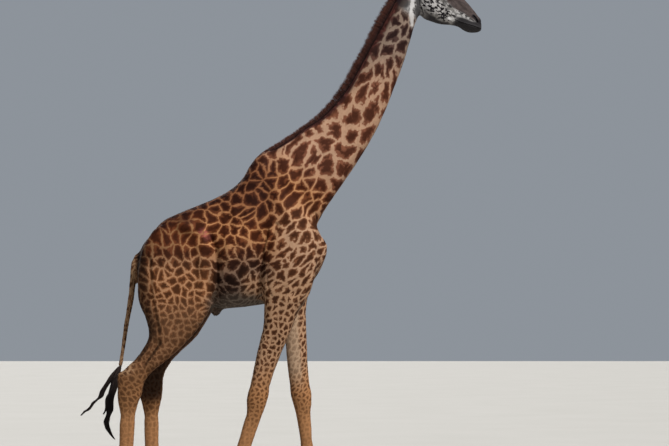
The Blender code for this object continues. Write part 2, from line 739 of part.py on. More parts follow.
# Each mane station: (x, z) on the nape's hair line, its height, half width
MANE = [
    (0.235, 3.315, 0.010, 0.020),
    (0.310, 3.380, 0.030, 0.024),
    (0.550, 3.540, 0.062, 0.028),
    (0.785, 3.708, 0.078, 0.030),
    (0.950, 3.880, 0.084, 0.030),
    (1.070, 4.055, 0.086, 0.030),
    (1.200, 4.290, 0.088, 0.030),
    (1.325, 4.530, 0.088, 0.030),
    (1.400, 4.690, 0.088, 0.030),
    (1.505, 4.875, 0.086, 0.030),
    (1.592, 4.988, 0.078, 0.029),
    (1.675, 5.066, 0.056, 0.026),
    (1.755, 5.112, 0.034, 0.022),
    (1.815, 5.128, 0.010, 0.016),
]


def add_mane(body, head, parts):
    """The upright mane, a thin wall of hair along the nape."""
    rows = resampled([(x, 0, z, h, w) for x, z, h, w in MANE], 0.11)
    tangents = np.gradient(rows[:, :3], axis=0)
    bm = bmesh.new()
    rings = []
    for (x, y, z, height, half), tangent in zip(rows, tangents):
        inward = Vector((tangent[2], 0, -tangent[0])).normalized()
        crest = Vector((x, 0, z))
        foot = crest + inward * (height + 0.03)
        side = Vector((0, half, 0))
        low = crest.lerp(foot, 0.45)
        ring = [crest, low + side * 0.8, foot + side, foot - side, low - side * 0.8]
        rings.append([bm.verts.new(p) for p in ring])
    for a, b in zip(rings, rings[1:]):
        for k in range(5):
            bm.faces.new((a[k], a[(k + 1) % 5], b[(k + 1) % 5], b[k]))
    bm.faces.new(rings[0])
    bm.faces.new(rings[-1])
    mane = new_object("mane", mesh_from(bm, "mane"), parts)
    combined(mane, body, "DIFFERENCE")
    combined(mane, head, "DIFFERENCE")
    keep_largest(mane)
    mane.data.transform(Matrix.Translation(Vector((-0.74, 0, 0.67)) * GAP * 2))


# The tassel's locks: points (x, y, z) and half thickness at each
LOCKS = [
    [
        ((-1.105, 0.000, 1.240), 0.024),
        ((-1.145, 0.005, 1.100), 0.050),
        ((-1.170, 0.005, 0.970), 0.046),
        ((-1.195, 0.000, 0.830), 0.036),
        ((-1.215, -0.005, 0.720), 0.025),
        ((-1.225, -0.005, 0.640), 0.018),
        ((-1.200, 0.000, 0.575), 0.011),
        ((-1.155, 0.000, 0.515), 0.004),
    ],
    [
        ((-1.108, 0.000, 1.250), 0.022),
        ((-1.160, 0.010, 1.180), 0.040),
        ((-1.215, 0.020, 1.080), 0.040),
        ((-1.260, 0.025, 0.990), 0.034),
        ((-1.315, 0.025, 0.920), 0.025),
        ((-1.385, 0.020, 0.860), 0.016),
        ((-1.440, 0.015, 0.810), 0.010),
        ((-1.500, 0.010, 0.755), 0.004),
    ],
    [
        ((-1.105, 0.000, 1.235), 0.022),
        ((-1.145, -0.030, 1.140), 0.040),
        ((-1.190, -0.035, 1.020), 0.034),
        ((-1.225, -0.035, 0.920), 0.022),
        ((-1.245, -0.030, 0.830), 0.006),
    ],
]


def add_tassel(parts, cutters):
    """The tail's tassel of long hair, blown a little to the rear."""
    bm = bmesh.new()
    for lock in LOCKS:
        stations = [(point, half, half * 0.8, 1.0) for point, half in lock]
        bm.from_mesh(limb_loft(stations, LEFT, "lock"))
    mesh = bpy.data.meshes.new("tail_tassel")
    bm.to_mesh(mesh)
    bm.free()
    tassel = new_object("tail_tassel", mesh, parts)
    fuse = tassel.modifiers.new("fuse", "REMESH")
    fuse.mode = "VOXEL"
    fuse.voxel_size = 0.006
    thin = tassel.modifiers.new("thin", "DECIMATE")
    thin.ratio = 0.028
    thin.use_collapse_triangulate = True
    apply_modifiers(tassel)
    above = half_space(TAIL_END, TAIL_END_UP, GAP / 2, cutters, 1.0)
    combined(tassel, above, "DIFFERENCE")
    keep_largest(tassel)


def claw_mesh(inner, name):
    """One half of a cloven hoof, flat on the floor, with its cleft side along y = 0."""
    levels = [
        (0.0, 1.00, 1.00, 0.000),
        (0.012, 1.02, 1.02, 0.000),
        (0.060, 0.88, 0.93, -0.014),
        (0.200, 0.60, 0.76, -0.044),
    ]
    bm = bmesh.new()
    rings = []
    for z, long, wide, shift in levels:
        ring = []
        for k in range(CLAW_SIDES):
            turn = math.pi * (k / (CLAW_SIDES - 1) - 0.5)
            x = math.sin(turn) * HOOF_LENGTH / 2 * long
            blunt = 0.62 if turn < 0 else 1.0
            y = math.cos(turn) ** blunt * HOOF_WIDTH / 2 * wide
            ring.append(bm.verts.new((x + shift, max(y, 0.006) - 0.002, z)))
        rings.append(ring)
    for a, b in zip(rings, rings[1:]):
        for k in range(CLAW_SIDES):
            after = (k + 1) % CLAW_SIDES
            bm.faces.new((a[k], a[after], b[after], b[k]))
    bm.faces.new(rings[0])
    bm.faces.new(rings[-1])
    if inner:
        bmesh.ops.scale(bm, vec=(1, -1, 1), verts=bm.verts)
    return mesh_from(bm, name)


def add_hooves(parts, cutters):
    for name, (side, stations, _, _) in LEGS.items():
        toe_end = Vector(stations[-1][0])
        point, normal = coronet_cut(stations, -GAP / 2)
        for inner in (False, True):
            label = name.replace("leg", "hoof") + ("_inner" if inner else "_outer")
            mesh = claw_mesh(inner != (side == RIGHT), label)
            mesh.transform(
                Matrix.Translation((toe_end.x + HOOF_FORWARD, toe_end.y * side, 0))
            )
            mesh.transform(
                Matrix.Translation((0, CLEFT * side * (-1 if inner else 1), 0))
            )
            claw = new_object(label, mesh, parts)
            combined(claw, half_space(point, normal, 0, cutters), "DIFFERENCE")


def stand_on_origin(parts):
    """Moves everything so that the middle of the model's box stands over the origin."""
    lo, hi = Vector((9, 9, 9)), Vector((-9, -9, -9))
    for obj in parts.objects:
        for vertex in obj.data.vertices:
            lo = Vector(map(min, lo, vertex.co))
            hi = Vector(map(max, hi, vertex.co))
    shift = Vector((-(lo.x + hi.x) / 2, -(lo.y + hi.y) / 2, -lo.z))
    for obj in parts.objects:
        obj.data.transform(Matrix.Translation(shift))


def colour_parts(parts):
    hide = material("hide", (0.42, 0.22, 0.10), 0.7)
    hair = material("hair", (0.03, 0.02, 0.018), 0.6)
    mane = material("mane_hair", (0.16, 0.07, 0.04), 0.7)
    horn = material("horn", (0.10, 0.085, 0.075), 0.45)
    eye = material("eye", (0.02, 0.012, 0.01), 0.05)
    for obj in parts.objects:
        obj.data.materials.clear()
        if obj.name.startswith("eye"):
            obj.data.materials.append(eye)
            obj.data.shade_smooth()
        elif "hoof" in obj.name:
            obj.data.materials.append(horn)
        elif obj.name == "tail_tassel":
            obj.data.materials.append(hair)
        elif obj.name == "mane":
            obj.data.materials.append(mane)
        else:
            obj.data.materials.append(hide)
            obj.data.shade_smooth()


def main():
    clear_scene()
    parts = bpy.data.collections.new("giraffe")
    cutters = bpy.data.collections.new("cutters")
    for collection in (parts, cutters):
        bpy.context.scene.collection.children.link(collection)
    flesh = fused_flesh(cutters)
    body = thinned(flesh, COARSE_RATIO, "body", cutters)
    fine = thinned(flesh, FINE_RATIO, "fine", cutters)
    cut_legs(body, parts, cutters)
    cut_tail(body, parts, cutters)
    cut_trunk(body, parts, cutters)
    cut_neck(body, parts, cutters)
    head = cut_head(fine, parts, cutters)
    add_eyes(head, parts, cutters)
    add_horns(head, parts)
    add_ears(head, parts)
    add_mane(body, head, parts)
    add_tassel(parts, cutters)
    add_hooves(parts, cutters)
    stand_on_origin(parts)
    colour_parts(parts)
    for helper in cutters.objects:
        helper.hide_render = True
        helper.display_type = "WIRE"
    cutters.hide_render = True


main()
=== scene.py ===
"""The looks of a life-size bull giraffe of the Masai kind, standing in mid stride.

The flesh is one skin, fused from the frame's nodes and sculpted along a few strokes. Short tufts of
hair lie along it, and skin and tufts share one recipe for their markings. Eyes, ears, horns, hooves,
mane and tail tassel are pieces of their own.
"""

import math

import bmesh
import bpy
import numpy as np
from mathutils import Matrix, Vector
from mathutils.bvhtree import BVHTree


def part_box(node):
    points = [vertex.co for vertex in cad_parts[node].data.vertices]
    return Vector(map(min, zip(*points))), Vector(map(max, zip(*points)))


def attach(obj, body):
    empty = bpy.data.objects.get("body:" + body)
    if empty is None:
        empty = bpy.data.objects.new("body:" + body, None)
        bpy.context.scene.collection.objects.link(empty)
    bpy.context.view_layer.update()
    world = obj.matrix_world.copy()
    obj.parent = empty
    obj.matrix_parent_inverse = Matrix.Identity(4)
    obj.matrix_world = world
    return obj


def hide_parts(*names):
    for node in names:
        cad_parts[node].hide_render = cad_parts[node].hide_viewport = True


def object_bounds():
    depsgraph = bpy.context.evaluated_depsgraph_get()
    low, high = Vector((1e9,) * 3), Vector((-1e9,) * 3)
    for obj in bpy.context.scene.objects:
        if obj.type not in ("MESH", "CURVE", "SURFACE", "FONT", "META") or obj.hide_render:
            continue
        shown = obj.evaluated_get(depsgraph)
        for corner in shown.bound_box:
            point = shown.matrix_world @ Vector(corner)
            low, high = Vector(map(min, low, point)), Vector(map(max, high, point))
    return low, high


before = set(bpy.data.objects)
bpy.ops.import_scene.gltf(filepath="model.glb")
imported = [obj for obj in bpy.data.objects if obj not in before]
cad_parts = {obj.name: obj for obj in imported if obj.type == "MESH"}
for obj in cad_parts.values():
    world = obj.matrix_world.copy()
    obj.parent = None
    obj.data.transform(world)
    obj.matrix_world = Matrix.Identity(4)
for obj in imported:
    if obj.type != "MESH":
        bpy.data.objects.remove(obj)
CAD_LOW, CAD_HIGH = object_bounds()
BOX = {node: [np.array(corner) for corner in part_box(node)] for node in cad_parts}

LEG_PARTS = ("left_upper", "left_lower", "right_upper", "right_lower")
FLESH = ["head", "neck", "trunk", "tail"]
FLESH += [f"{limb}_{part}" for limb in ("foreleg", "hindleg") for part in LEG_PARTS]
RIGHT, LEFT = -1, 1
SIDE_NAMES = {RIGHT: "right", LEFT: "left"}
MERGE = 0.00001
SWELL = 0.004  # closes the gaps between the flesh nodes before they are fused
VOXEL = 0.011
SOFTEN_TIMES = 54
SKIN_TRIANGLES = 190000
UNWRAP = "OFBake"
COAT_DEPTH = 0.006  # from the coat's outside to the skin
FACE_COAT_DEPTH = 0.003
FINE_REACH = 0.040  # how far round each eye the skin has its smallest faces
BOX_ROOM, BOX_EASE = 0.0025, 0.0015  # how far inside the frame's box the skin is held, and how softly

HEAD_PITCH = math.radians(32.7)  # how far the nose points below level
BACK = np.array((-math.cos(HEAD_PITCH), 0, math.sin(HEAD_PITCH)))
RISE = np.array((math.sin(HEAD_PITCH), 0, math.cos(HEAD_PITCH)))
EYE_BACK, EYE_RISE = 0.452, 0.066  # the eyes' place in the head, from the muzzle's tip


def box_middle(node):
    low, high = BOX[node]
    return (low + high) / 2


MUZZLE = (box_middle("eye_left") + box_middle("eye_right")) / 2 - BACK * EYE_BACK - RISE * EYE_RISE


def head_place(back, rise, side=0.0):
    """A place given along the head from the muzzle's tip, above the head's axis and to a side."""
    return MUZZLE + BACK * back + RISE * rise + np.array((0, side, 0))


def in_head(points):
    """Each point's distance behind the muzzle's tip, height above the head's axis, and side."""
    offset = points - MUZZLE
    return np.stack([offset @ BACK, offset @ RISE, offset[:, 1]], axis=1)


def at(node, along, up):
    """A place in side view: fractions of a node's box from its rear and from its foot."""
    low, high = BOX[node]
    return np.array((low[0] + (high[0] - low[0]) * along, low[2] + (high[2] - low[2]) * up))


def trail(node, places):
    """Places in side view one after another, all as fractions of one node's box."""
    return [at(node, *place) for place in places]


# ---------------------------------------------------------------- numbers over the body


def ramp(value, low, high):
    """0 below low, 1 above high, and smooth between them. Low may be the larger one."""
    t = np.clip((value - low) / (high - low), 0, 1)
    return t * t * (3 - 2 * t)


def blend(first, second, share):
    """From the first colours or directions to the second, by a share for each place."""
    share = np.asarray(share)[..., None]
    return np.asarray(first) * (1 - share) + np.asarray(second) * share


def path_distance(points, path):
    """How far each point is from a broken line."""
    path = np.array(path, float)
    if len(path) == 1:
        return np.linalg.norm(points - path[0], axis=1)
    best = np.full(len(points), np.inf)
    for start, end in zip(path, path[1:]):
        run = end - start
        share = np.clip((points - start) @ run / (run @ run), 0, 1)
        best = np.minimum(best, np.linalg.norm(points - start - share[:, None] * run, axis=1))
    return best


def stroke(distance, reach):
    """1 on a stroke's line, falling smoothly to 0 at its reach."""
    return np.clip(1 - (distance / reach) ** 2, 0, 1) ** 2


def lattice_value(cell, seed):
    """A number from 0 to 1 for each whole-numbered cell, always the same one."""
    mixed = cell[:, 0] * 374761393 + cell[:, 1] * 668265263 + cell[:, 2] * 2147483647 + seed * 1274126177
    mixed = (mixed ^ (mixed >> 13)) * 1274126177
    return ((mixed ^ (mixed >> 16)) & 0xFFFF) / 0xFFFF


def soft_noise(points, size, seed=0):
    """Smooth noise from -1 to 1 whose lumps are about size across."""
    scaled = points / size
    cell = np.floor(scaled).astype(np.int64)
    share = scaled - cell
    share = share * share * (3 - 2 * share)
    total = np.zeros(len(points))
    for corner in range(8):
        step = np.array([corner & 1, corner >> 1 & 1, corner >> 2 & 1])
        weight = np.prod(np.where(step, share, 1 - share), axis=1)
        total += weight * lattice_value(cell + step, seed)
    return total * 2 - 1


def side_view(points):
    """Length and height of each place, without its side."""
    return points[:, [0, 2]]


# ---------------------------------------------------------------- meshes and numbers


def vertex_points(mesh):
    values = np.empty(len(mesh.vertices) * 3, np.float32)
    mesh.vertices.foreach_get("co", values)
    return values.reshape(-1, 3).astype(float)


def vertex_normals(mesh):
    values = np.empty(len(mesh.vertices) * 3, np.float32)
    mesh.vertices.foreach_get("normal", values)
    return values.reshape(-1, 3).astype(float)


def move_vertices(mesh, points):
    mesh.vertices.foreach_set("co", points.astype(np.float32).ravel())
    mesh.update()


def new_object(name, mesh):
    obj = bpy.data.objects.new(name, mesh)
    bpy.context.scene.collection.objects.link(obj)
    return obj


def pick_only(obj):
    bpy.ops.object.select_all(action="DESELECT")
    obj.select_set(True)
    bpy.context.view_layer.objects.active = obj


def apply_modifiers(obj):
    """Makes a piece's modifiers part of its mesh."""
    pick_only(obj)
    for modifier in list(obj.modifiers):
        bpy.ops.object.modifier_apply(modifier=modifier.name)


def weight_group(obj, name, weights, levels=20):
    """Gives a piece a vertex group that holds the weights, rounded to a few levels."""
    group = obj.vertex_groups.new(name=name)
    rounded = np.round(weights * levels).astype(int)
    for level in range(levels + 1):
        members = np.flatnonzero(rounded == level)
        group.add(members.tolist(), level / levels, "REPLACE")


def refine(mesh, inside):
    """Splits the faces whose corners are all inside into four."""
    shape = bmesh.new()
    shape.from_mesh(mesh)
    edges = [e for e in shape.edges if inside[e.verts[0].index] and inside[e.verts[1].index]]
    bmesh.ops.subdivide_edges(shape, edges=edges, cuts=1, use_grid_fill=True)
    shape.to_mesh(mesh)
    shape.free()


# ---------------------------------------------------------------- the skin's shape

# Strokes in side view on both sides of the body: node, reach, height, places in the node's box
BODY_STROKES = [
    ("trunk", 0.060, -0.024, [(0.39, 0.47), (0.42, 0.40), (0.43, 0.28), (0.42, 0.08)]),  # fold of the flank
    ("trunk", 0.075, 0.014, [(0.35, 0.42), (0.365, 0.26), (0.36, 0.10)]),  # edge of the thigh
    ("trunk", 0.180, -0.016, [(0.46, 0.56)]),  # hollow of the flank
    ("trunk", 0.080, 0.014, [(0.36, 0.52)]),  # point of the hip
    ("trunk", 0.100, -0.010, [(0.28, 0.47), (0.22, 0.42)]),
    ("trunk", 0.050, -0.022, [(0.74, 0.54), (0.70, 0.44), (0.67, 0.34), (0.66, 0.20), (0.66, 0.08)]),
    ("trunk", 0.110, 0.014, [(0.79, 0.48), (0.74, 0.34), (0.71, 0.17)]),  # arm behind the shoulder
    ("trunk", 0.090, 0.009, [(0.67, 0.90), (0.75, 0.71), (0.84, 0.49)]),  # ridge of the shoulder blade
    ("trunk", 0.085, -0.011, [(0.81, 0.95), (0.88, 0.71), (0.92, 0.55)]),  # in front of the shoulder
    ("trunk", 0.036, 0.004, [(0.47, 0.62), (0.50, 0.30)]),  # ribs
    ("trunk", 0.036, 0.004, [(0.52, 0.64), (0.56, 0.30)]),
    ("trunk", 0.036, 0.004, [(0.58, 0.66), (0.61, 0.34)]),
    ("trunk", 0.070, 0.007, [(0.66, 0.83), (0.52, 0.73), (0.36, 0.64), (0.19, 0.56)]),  # loin
    ("trunk", 0.060, -0.005, [(0.62, 0.76), (0.50, 0.66), (0.40, 0.60)]),
    ("neck", 0.060, -0.012, [(0.33, 0.07), (0.52, 0.27), (0.69, 0.48), (0.84, 0.69)]),  # gullet's groove
    ("neck", 0.060, 0.006, [(0.07, 0.31), (0.35, 0.40), (0.55, 0.59), (0.76, 0.80)]),  # nape
    ("neck", 0.080, 0.006, [(0.21, 0.16), (0.38, 0.31), (0.55, 0.50), (0.72, 0.72)]),  # neck bones
]
LEG_STROKES = [
    ("hindleg", "upper", 0.055, -0.013, [(0.32, 0.88), (0.35, 0.64), (0.42, 0.43)]),
    ("hindleg", "upper", 0.090, -0.007, [(0.61, 0.90), (0.55, 0.64), (0.59, 0.45)]),
    ("hindleg", "upper", 0.080, 0.009, [(0.86, 0.88), (0.87, 0.70), (0.80, 0.50)]),
    ("hindleg", "upper", 0.042, -0.024, [(0.43, 0.36), (0.36, 0.30), (0.28, 0.23)]),  # above the heel
    ("foreleg", "upper", 0.040, -0.007, [(0.45, 0.58), (0.30, 0.36), (0.20, 0.18)]),
    ("foreleg", "upper", 0.050, 0.007, [(0.58, 0.60), (0.42, 0.40)]),
    ("foreleg", "lower", 0.018, -0.006, [(0.62, 0.80), (0.45, 0.55), (0.30, 0.32)]),
    ("hindleg", "lower", 0.018, -0.006, [(0.55, 0.88), (0.48, 0.60), (0.42, 0.32)]),
]

# Ledges in side view, on both sides: node, height before the edge, drop behind it, places on the edge.
# Seen along the places, the skin swells towards the edge on the right and drops on the left.
THIGH_EDGE = [(0.375, 0.50), (0.398, 0.40), (0.408, 0.28), (0.408, 0.16), (0.395, 0.04)]
ARM_EDGE = [(0.672, 0.10), (0.674, 0.26), (0.685, 0.40), (0.71, 0.52)]
LEDGES = [("trunk", 0.014, 0.034, THIGH_EDGE), ("trunk", 0.014, 0.034, ARM_EDGE)]
# Rings round the legs: height above the floor, reach, amount
FORE_RINGS = [(0.960, 0.11, 0.0075), (0.80, 0.075, -0.005), (0.265, 0.075, 0.007), (0.165, 0.04, -0.0035)]
HIND_RINGS = [(0.925, 0.10, 0.0060), (0.76, 0.080, -0.006), (0.270, 0.075, 0.007), (0.170, 0.04, -0.0035)]
# Fine folds of the skin in side view, on both sides: node, places
FOLDS = [
    ("trunk", [(0.715, 0.12), (0.690, 0.22), (0.700, 0.34)]),
    ("trunk", [(0.690, 0.10), (0.665, 0.20), (0.672, 0.33), (0.700, 0.44)]),
    ("trunk", [(0.430, 0.10), (0.435, 0.22), (0.430, 0.34)]),
    ("trunk", [(0.450, 0.12), (0.460, 0.24), (0.455, 0.33)]),
    ("trunk", [(0.965, 0.33), (0.900, 0.22), (0.800, 0.10)]),
    ("trunk", [(0.985, 0.30), (0.930, 0.18), (0.850, 0.07)]),
    ("trunk", [(0.930, 0.34), (0.870, 0.25), (0.780, 0.16)]),
    ("trunk", [(0.940, 0.62), (0.965, 0.52), (0.960, 0.44)]),
    ("trunk", [(0.915, 0.60), (0.940, 0.50), (0.935, 0.42)]),
    ("neck", [(0.30, 0.02), (0.36, 0.09), (0.45, 0.15)]),
    ("neck", [(0.36, 0.00), (0.42, 0.07), (0.50, 0.13)]),
]

# The line of the mouth and the slit of the nostril, as (back, rise) from the muzzle's tip
MOUTH = [(-0.05, -0.030), (-0.01, -0.036), (0.05, -0.052), (0.12, -0.072), (0.19, -0.088), (0.245, -0.098)]
NOSTRIL = [(0.036, 0.002), (0.050, 0.014), (0.078, 0.030), (0.102, 0.034)]
# Strokes on both sides of the head: reach, height, places as (back, rise)
HEAD_STROKES = [
    (0.080, 0.008, [(0.470, -0.090), (0.500, -0.140)]),  # jaw muscle
    (0.022, 0.007, [(0.400, 0.010), (0.480, 0.008), (0.580, 0.045)]),  # cheek bone
    (0.024, 0.005, [(0.370, 0.000), (0.280, -0.020), (0.200, -0.018)]),  # crest of the face
    (0.030, -0.006, [(0.340, 0.070), (0.250, 0.045), (0.170, 0.040)]),  # beside the nose
    (0.030, -0.007, [(0.290, -0.105), (0.360, -0.120), (0.400, -0.060)]),  # in front of the jaw muscle
    (0.024, -0.005, [(0.430, -0.030), (0.520, -0.040)]),
    (0.014, -0.005, [(0.600, -0.160), (0.560, -0.060), (0.600, 0.010)]),  # behind the jaw
    (0.020, 0.004, [(0.020, -0.050), (0.080, -0.068), (0.150, -0.088)]),  # lower lip
]


def ledge(flat, path, up, down):
    """A step in the skin along a path: it swells towards the path from one side and drops on the other."""
    path = np.array(path)
    best = np.full(len(flat), np.inf)
    signed, along = np.zeros(len(flat)), np.zeros(len(flat))
    for number, (start, end) in enumerate(zip(path, path[1:])):
        run = end - start
        share = (flat - start) @ run / (run @ run)
        held = np.clip(share, 0, 1)
        offset = flat - start - held[:, None] * run
        reach = np.linalg.norm(offset, axis=1)
        side = np.sign(run[0] * offset[:, 1] - run[1] * offset[:, 0])
        nearer = reach < best
        best = np.where(nearer, reach, best)
        signed = np.where(nearer, reach * side, signed)
        along = np.where(nearer, number + share, along)
    before = up * ramp(-signed, 0.16, 0.0) * (signed <= 0)
    step = up - (up + down) * ramp(signed, 0.0, 0.028)
    behind = np.where(signed < 0.028, step, -down * ramp(signed, 0.20, 0.028)) * (signed > 0)
    ends = ramp(along, -0.5, 0.5) * ramp(along, len(path) - 0.5, len(path) - 1.5)
    return (before + behind) * ends


def near_feet(points):
    """1 below the hocks and knees, fading out up the legs."""
    return ramp(points[:, 2], 1.9, 1.35)


def on_head(points):
    """1 on the head, fading out behind the jaw and the poll."""
    place = in_head(points)
    return ramp(place[:, 0], 0.80, 0.70) * ramp(place[:, 1], -0.36, -0.27)


def on_tail(points):
    """1 on the hanging tail."""
    rump = BOX["trunk"][0][0]
    return ramp(points[:, 0], rump + 0.03, rump - 0.02) * ramp(points[:, 2], 1.15, 1.2)


def fused_flesh():
    """The flesh nodes and the eyes as one closed mesh with even faces."""
    whole = bmesh.new()
    for node in [*FLESH, "eye_left", "eye_right"]:
        piece = bmesh.new()
        piece.from_mesh(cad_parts[node].data)
        bmesh.ops.remove_doubles(piece, verts=piece.verts, dist=MERGE)
        piece.normal_update()
        grow = SWELL if node in FLESH else 0.0
        for vertex in piece.verts:
            vertex.co += vertex.normal * grow
        mesh = bpy.data.meshes.new("piece")
        piece.to_mesh(mesh)
        piece.free()
        whole.from_mesh(mesh)
        bpy.data.meshes.remove(mesh)
    mesh = bpy.data.meshes.new("skin")
    whole.to_mesh(mesh)
    whole.free()
    skin = new_object("skin", mesh)
    remesh = skin.modifiers.new("fuse", "REMESH")
    remesh.mode = "VOXEL"
    remesh.voxel_size = VOXEL
    apply_modifiers(skin)
    return skin


def soften(skin):
    """Rounds off the flesh: most on the trunk, least on feet, face and tail."""
    points = vertex_points(skin.data)
    firm = np.maximum(near_feet(points) * 0.90, on_head(points) * 0.92)
    firm = np.maximum(firm, on_tail(points) * 0.97)
    weight_group(skin, "soft", 1 - firm)
    smooth = skin.modifiers.new("soften", "SMOOTH")
    smooth.factor = 0.5
    smooth.iterations = SOFTEN_TIMES
    smooth.vertex_group = "soft"
    apply_modifiers(skin)
    skin.vertex_groups.clear()


def sculpt_body(mesh):
    """Muscles, folds, ledges and joints of trunk, neck and legs."""
    points, normals = vertex_points(mesh), vertex_normals(mesh)
    flat = side_view(points)
    sideways = ramp(np.abs(normals[:, 1]), 0.15, 0.6)
    rise = np.zeros(len(points))
    for node, reach, height, places in BODY_STROKES:
        rise += height * stroke(path_distance(flat, trail(node, places)), reach)
    for limb, part, reach, height, places in LEG_STROKES:
        for side, name in SIDE_NAMES.items():
            distance = path_distance(flat, trail(f"{limb}_{name}_{part}", places))
            rise += height * stroke(distance, reach) * (points[:, 1] * side > 0)
    for node, up, down, places in LEDGES:
        rise += ledge(flat, trail(node, places), up, down)
    wander = 0.010 * soft_noise(points, 0.06, 9)
    for node, places in FOLDS:
        distance = path_distance(flat + wander[:, None], trail(node, places))
        rise += 0.0035 * stroke(distance, 0.030) - 0.0085 * stroke(distance, 0.014)
    rise *= sideways * (1 - on_head(points))
    for rings, here in ((FORE_RINGS, points[:, 0] > -0.7), (HIND_RINGS, points[:, 0] < -0.9)):
        for height, reach, amount in rings:
            rise += amount * stroke(points[:, 2] - height, reach) * here * (1 - on_tail(points))
    rise += 0.0022 * soft_noise(points, 0.09, 1) * (1 - 0.6 * np.maximum(near_feet(points), on_head(points)))
    rise += 0.0010 * soft_noise(points, 0.035, 2) * (1 - on_head(points))
    depth = COAT_DEPTH - SWELL + 0.001
    move_vertices(mesh, points + normals * (rise - depth)[:, None])


def mouth_line(back):
    """How high the line of the mouth lies, a distance behind the muzzle's tip."""
    return np.interp(back, *np.array(MOUTH).T)


def sculpt_head(mesh):
    """Bones, lips, nostrils and folds of the head."""
    points, normals = vertex_points(mesh), vertex_normals(mesh)
    place = in_head(points)
    back, height, side = place[:, 0], place[:, 1], np.abs(place[:, 2])
    flat = place[:, :2]
    sideways = ramp(np.abs(normals[:, 1]), 0.10, 0.5)
    rise = np.zeros(len(points))
    for reach, bulge, places in HEAD_STROKES:
        rise += bulge * stroke(path_distance(flat, places), reach)
    nostril = path_distance(flat, NOSTRIL)
    rise += 0.005 * stroke(nostril, 0.028) - 0.014 * stroke(nostril, 0.0075)
    rise -= 0.012 * stroke(path_distance(flat, NOSTRIL[:2]), 0.0125)
    rise *= sideways
    lips = path_distance(flat, MOUTH)
    rise += 0.0035 * stroke(lips, 0.018) - 0.0100 * stroke(lips, 0.0052)
    below = (height < mouth_line(back)) * ramp(back, 0.22, 0.14) * ramp(side, 0.0, 0.03)
    rise -= 0.006 * below * ramp(back, -0.03, 0.0)
    rise += 0.0008 * soft_noise(points, 0.020, 4) * ramp(back, 0.02, 0.2)
    for k in range(3):  # folds of the throat, where the head turns on the neck
        fold = [(0.640 + 0.030 * k, -0.130 + 0.035 * k), (0.560 + 0.035 * k, -0.215 + 0.020 * k)]
        rise -= 0.005 * stroke(path_distance(flat, fold), 0.012) * sideways
    depth = FACE_COAT_DEPTH - COAT_DEPTH
    move_vertices(mesh, points + normals * ((rise - depth) * on_head(points))[:, None])


def from_eyes(points):
    """How far each place is from the middle of the nearer eye."""
    return np.minimum(*(np.linalg.norm(points - eye_frame(side)[0], axis=1) for side in (RIGHT, LEFT)))


def eye_frame(side):
    """The eye's middle, its radius, and the directions out of it, towards the nose and upwards."""
    node = f"eye_{SIDE_NAMES[side]}"
    low, high = BOX[node]
    outward = np.array((0, side, 0)) * 0.93 - BACK * 0.22 - RISE * 0.02
    outward /= np.linalg.norm(outward)
    forward = -BACK * 0.97 + RISE * 0.20
    forward -= outward * (forward @ outward)
    forward /= np.linalg.norm(forward)
    upward = np.cross(outward, forward) * side * -1
    upward *= np.sign(upward @ RISE)
    return (low + high) / 2, (high[2] - low[2]) / 2, outward, forward, upward


LID_LENGTH = 0.0240  # half the opening between the lids, from corner to corner
LID_UPPER, LID_LOWER = 0.0155, 0.0125
LID_SWELL = 0.0030


def lid_opening(turn):
    """How far the lids' edge lies from the middle of the eye, in a direction across it."""
    across, up = np.cos(turn), np.sin(turn)
    height = np.where(up > 0, LID_UPPER, LID_LOWER)
    oval = 1 / np.sqrt((across / LID_LENGTH) ** 2 + (up / height) ** 2)
    return oval * (1 - 0.10 * np.abs(np.sin(2 * turn)))


def smooth_max(first, second, softness):
    """The larger of two values, rounded where they cross."""
    return (first + second + np.sqrt((first - second) ** 2 + softness**2)) / 2


def sculpt_lids(mesh):
    """Wraps the skin over each eyeball as two lids, and draws it back behind the eye between them."""
    points = vertex_points(mesh)
    for side in (RIGHT, LEFT):
        middle, radius, outward, forward, upward = eye_frame(side)
        offset = points - middle
        near = np.flatnonzero((np.linalg.norm(offset, axis=1) < 0.075) & (offset @ outward > -0.02))
        across, up, out = offset[near] @ forward, offset[near] @ upward, offset[near] @ outward
        radial, turn = np.hypot(across, up), np.arctan2(up, across)
        opening = lid_opening(turn)
        gap = radial - opening
        on_edge = np.abs(gap) < 0.0008  # these corners of the mesh are drawn onto the lids' edge
        radial = np.where(on_edge, opening, radial)
        gap = np.where(on_edge, 0.0, gap)
        hollow = np.sqrt(np.clip((radius - 0.0045) ** 2 - radial**2, 0, None))
        cover = 0.0010 + LID_SWELL * ramp(gap, 0.0, 0.0035) - 0.0012 * ramp(gap, 0.005, 0.012)
        lid = np.sqrt(np.clip((radius + cover) ** 2 - radial**2, 0, None))
        folded = smooth_max(lid, out, 0.002)
        upper = ramp(up, -0.004, 0.010)
        folded -= 0.0035 * upper * stroke(gap - 0.0115, 0.0042)
        folded -= 0.0022 * (1 - upper) * stroke(gap - 0.0100, 0.0040)
        folded += 0.0030 * upper * stroke(gap - 0.0190, 0.0060)
        shaped = np.where(gap < 0, hollow, folded)
        shaped = out + (shaped - out) * ramp(radial, 0.048, 0.034)
        axes = np.array((forward, upward, outward))
        points[near] = middle + np.column_stack([np.cos(turn) * radial, np.sin(turn) * radial, shaped]) @ axes
    move_vertices(mesh, points)


def inside_box(points, room, softness):
    """Eases the outermost places back into the frame's box, with some room left to its sides."""
    low, high = np.array(CAD_LOW) + room, np.array(CAD_HIGH) - room
    points = points - softness * np.log1p(np.exp((points - high) / softness))
    return points + softness * np.log1p(np.exp((low - points) / softness))


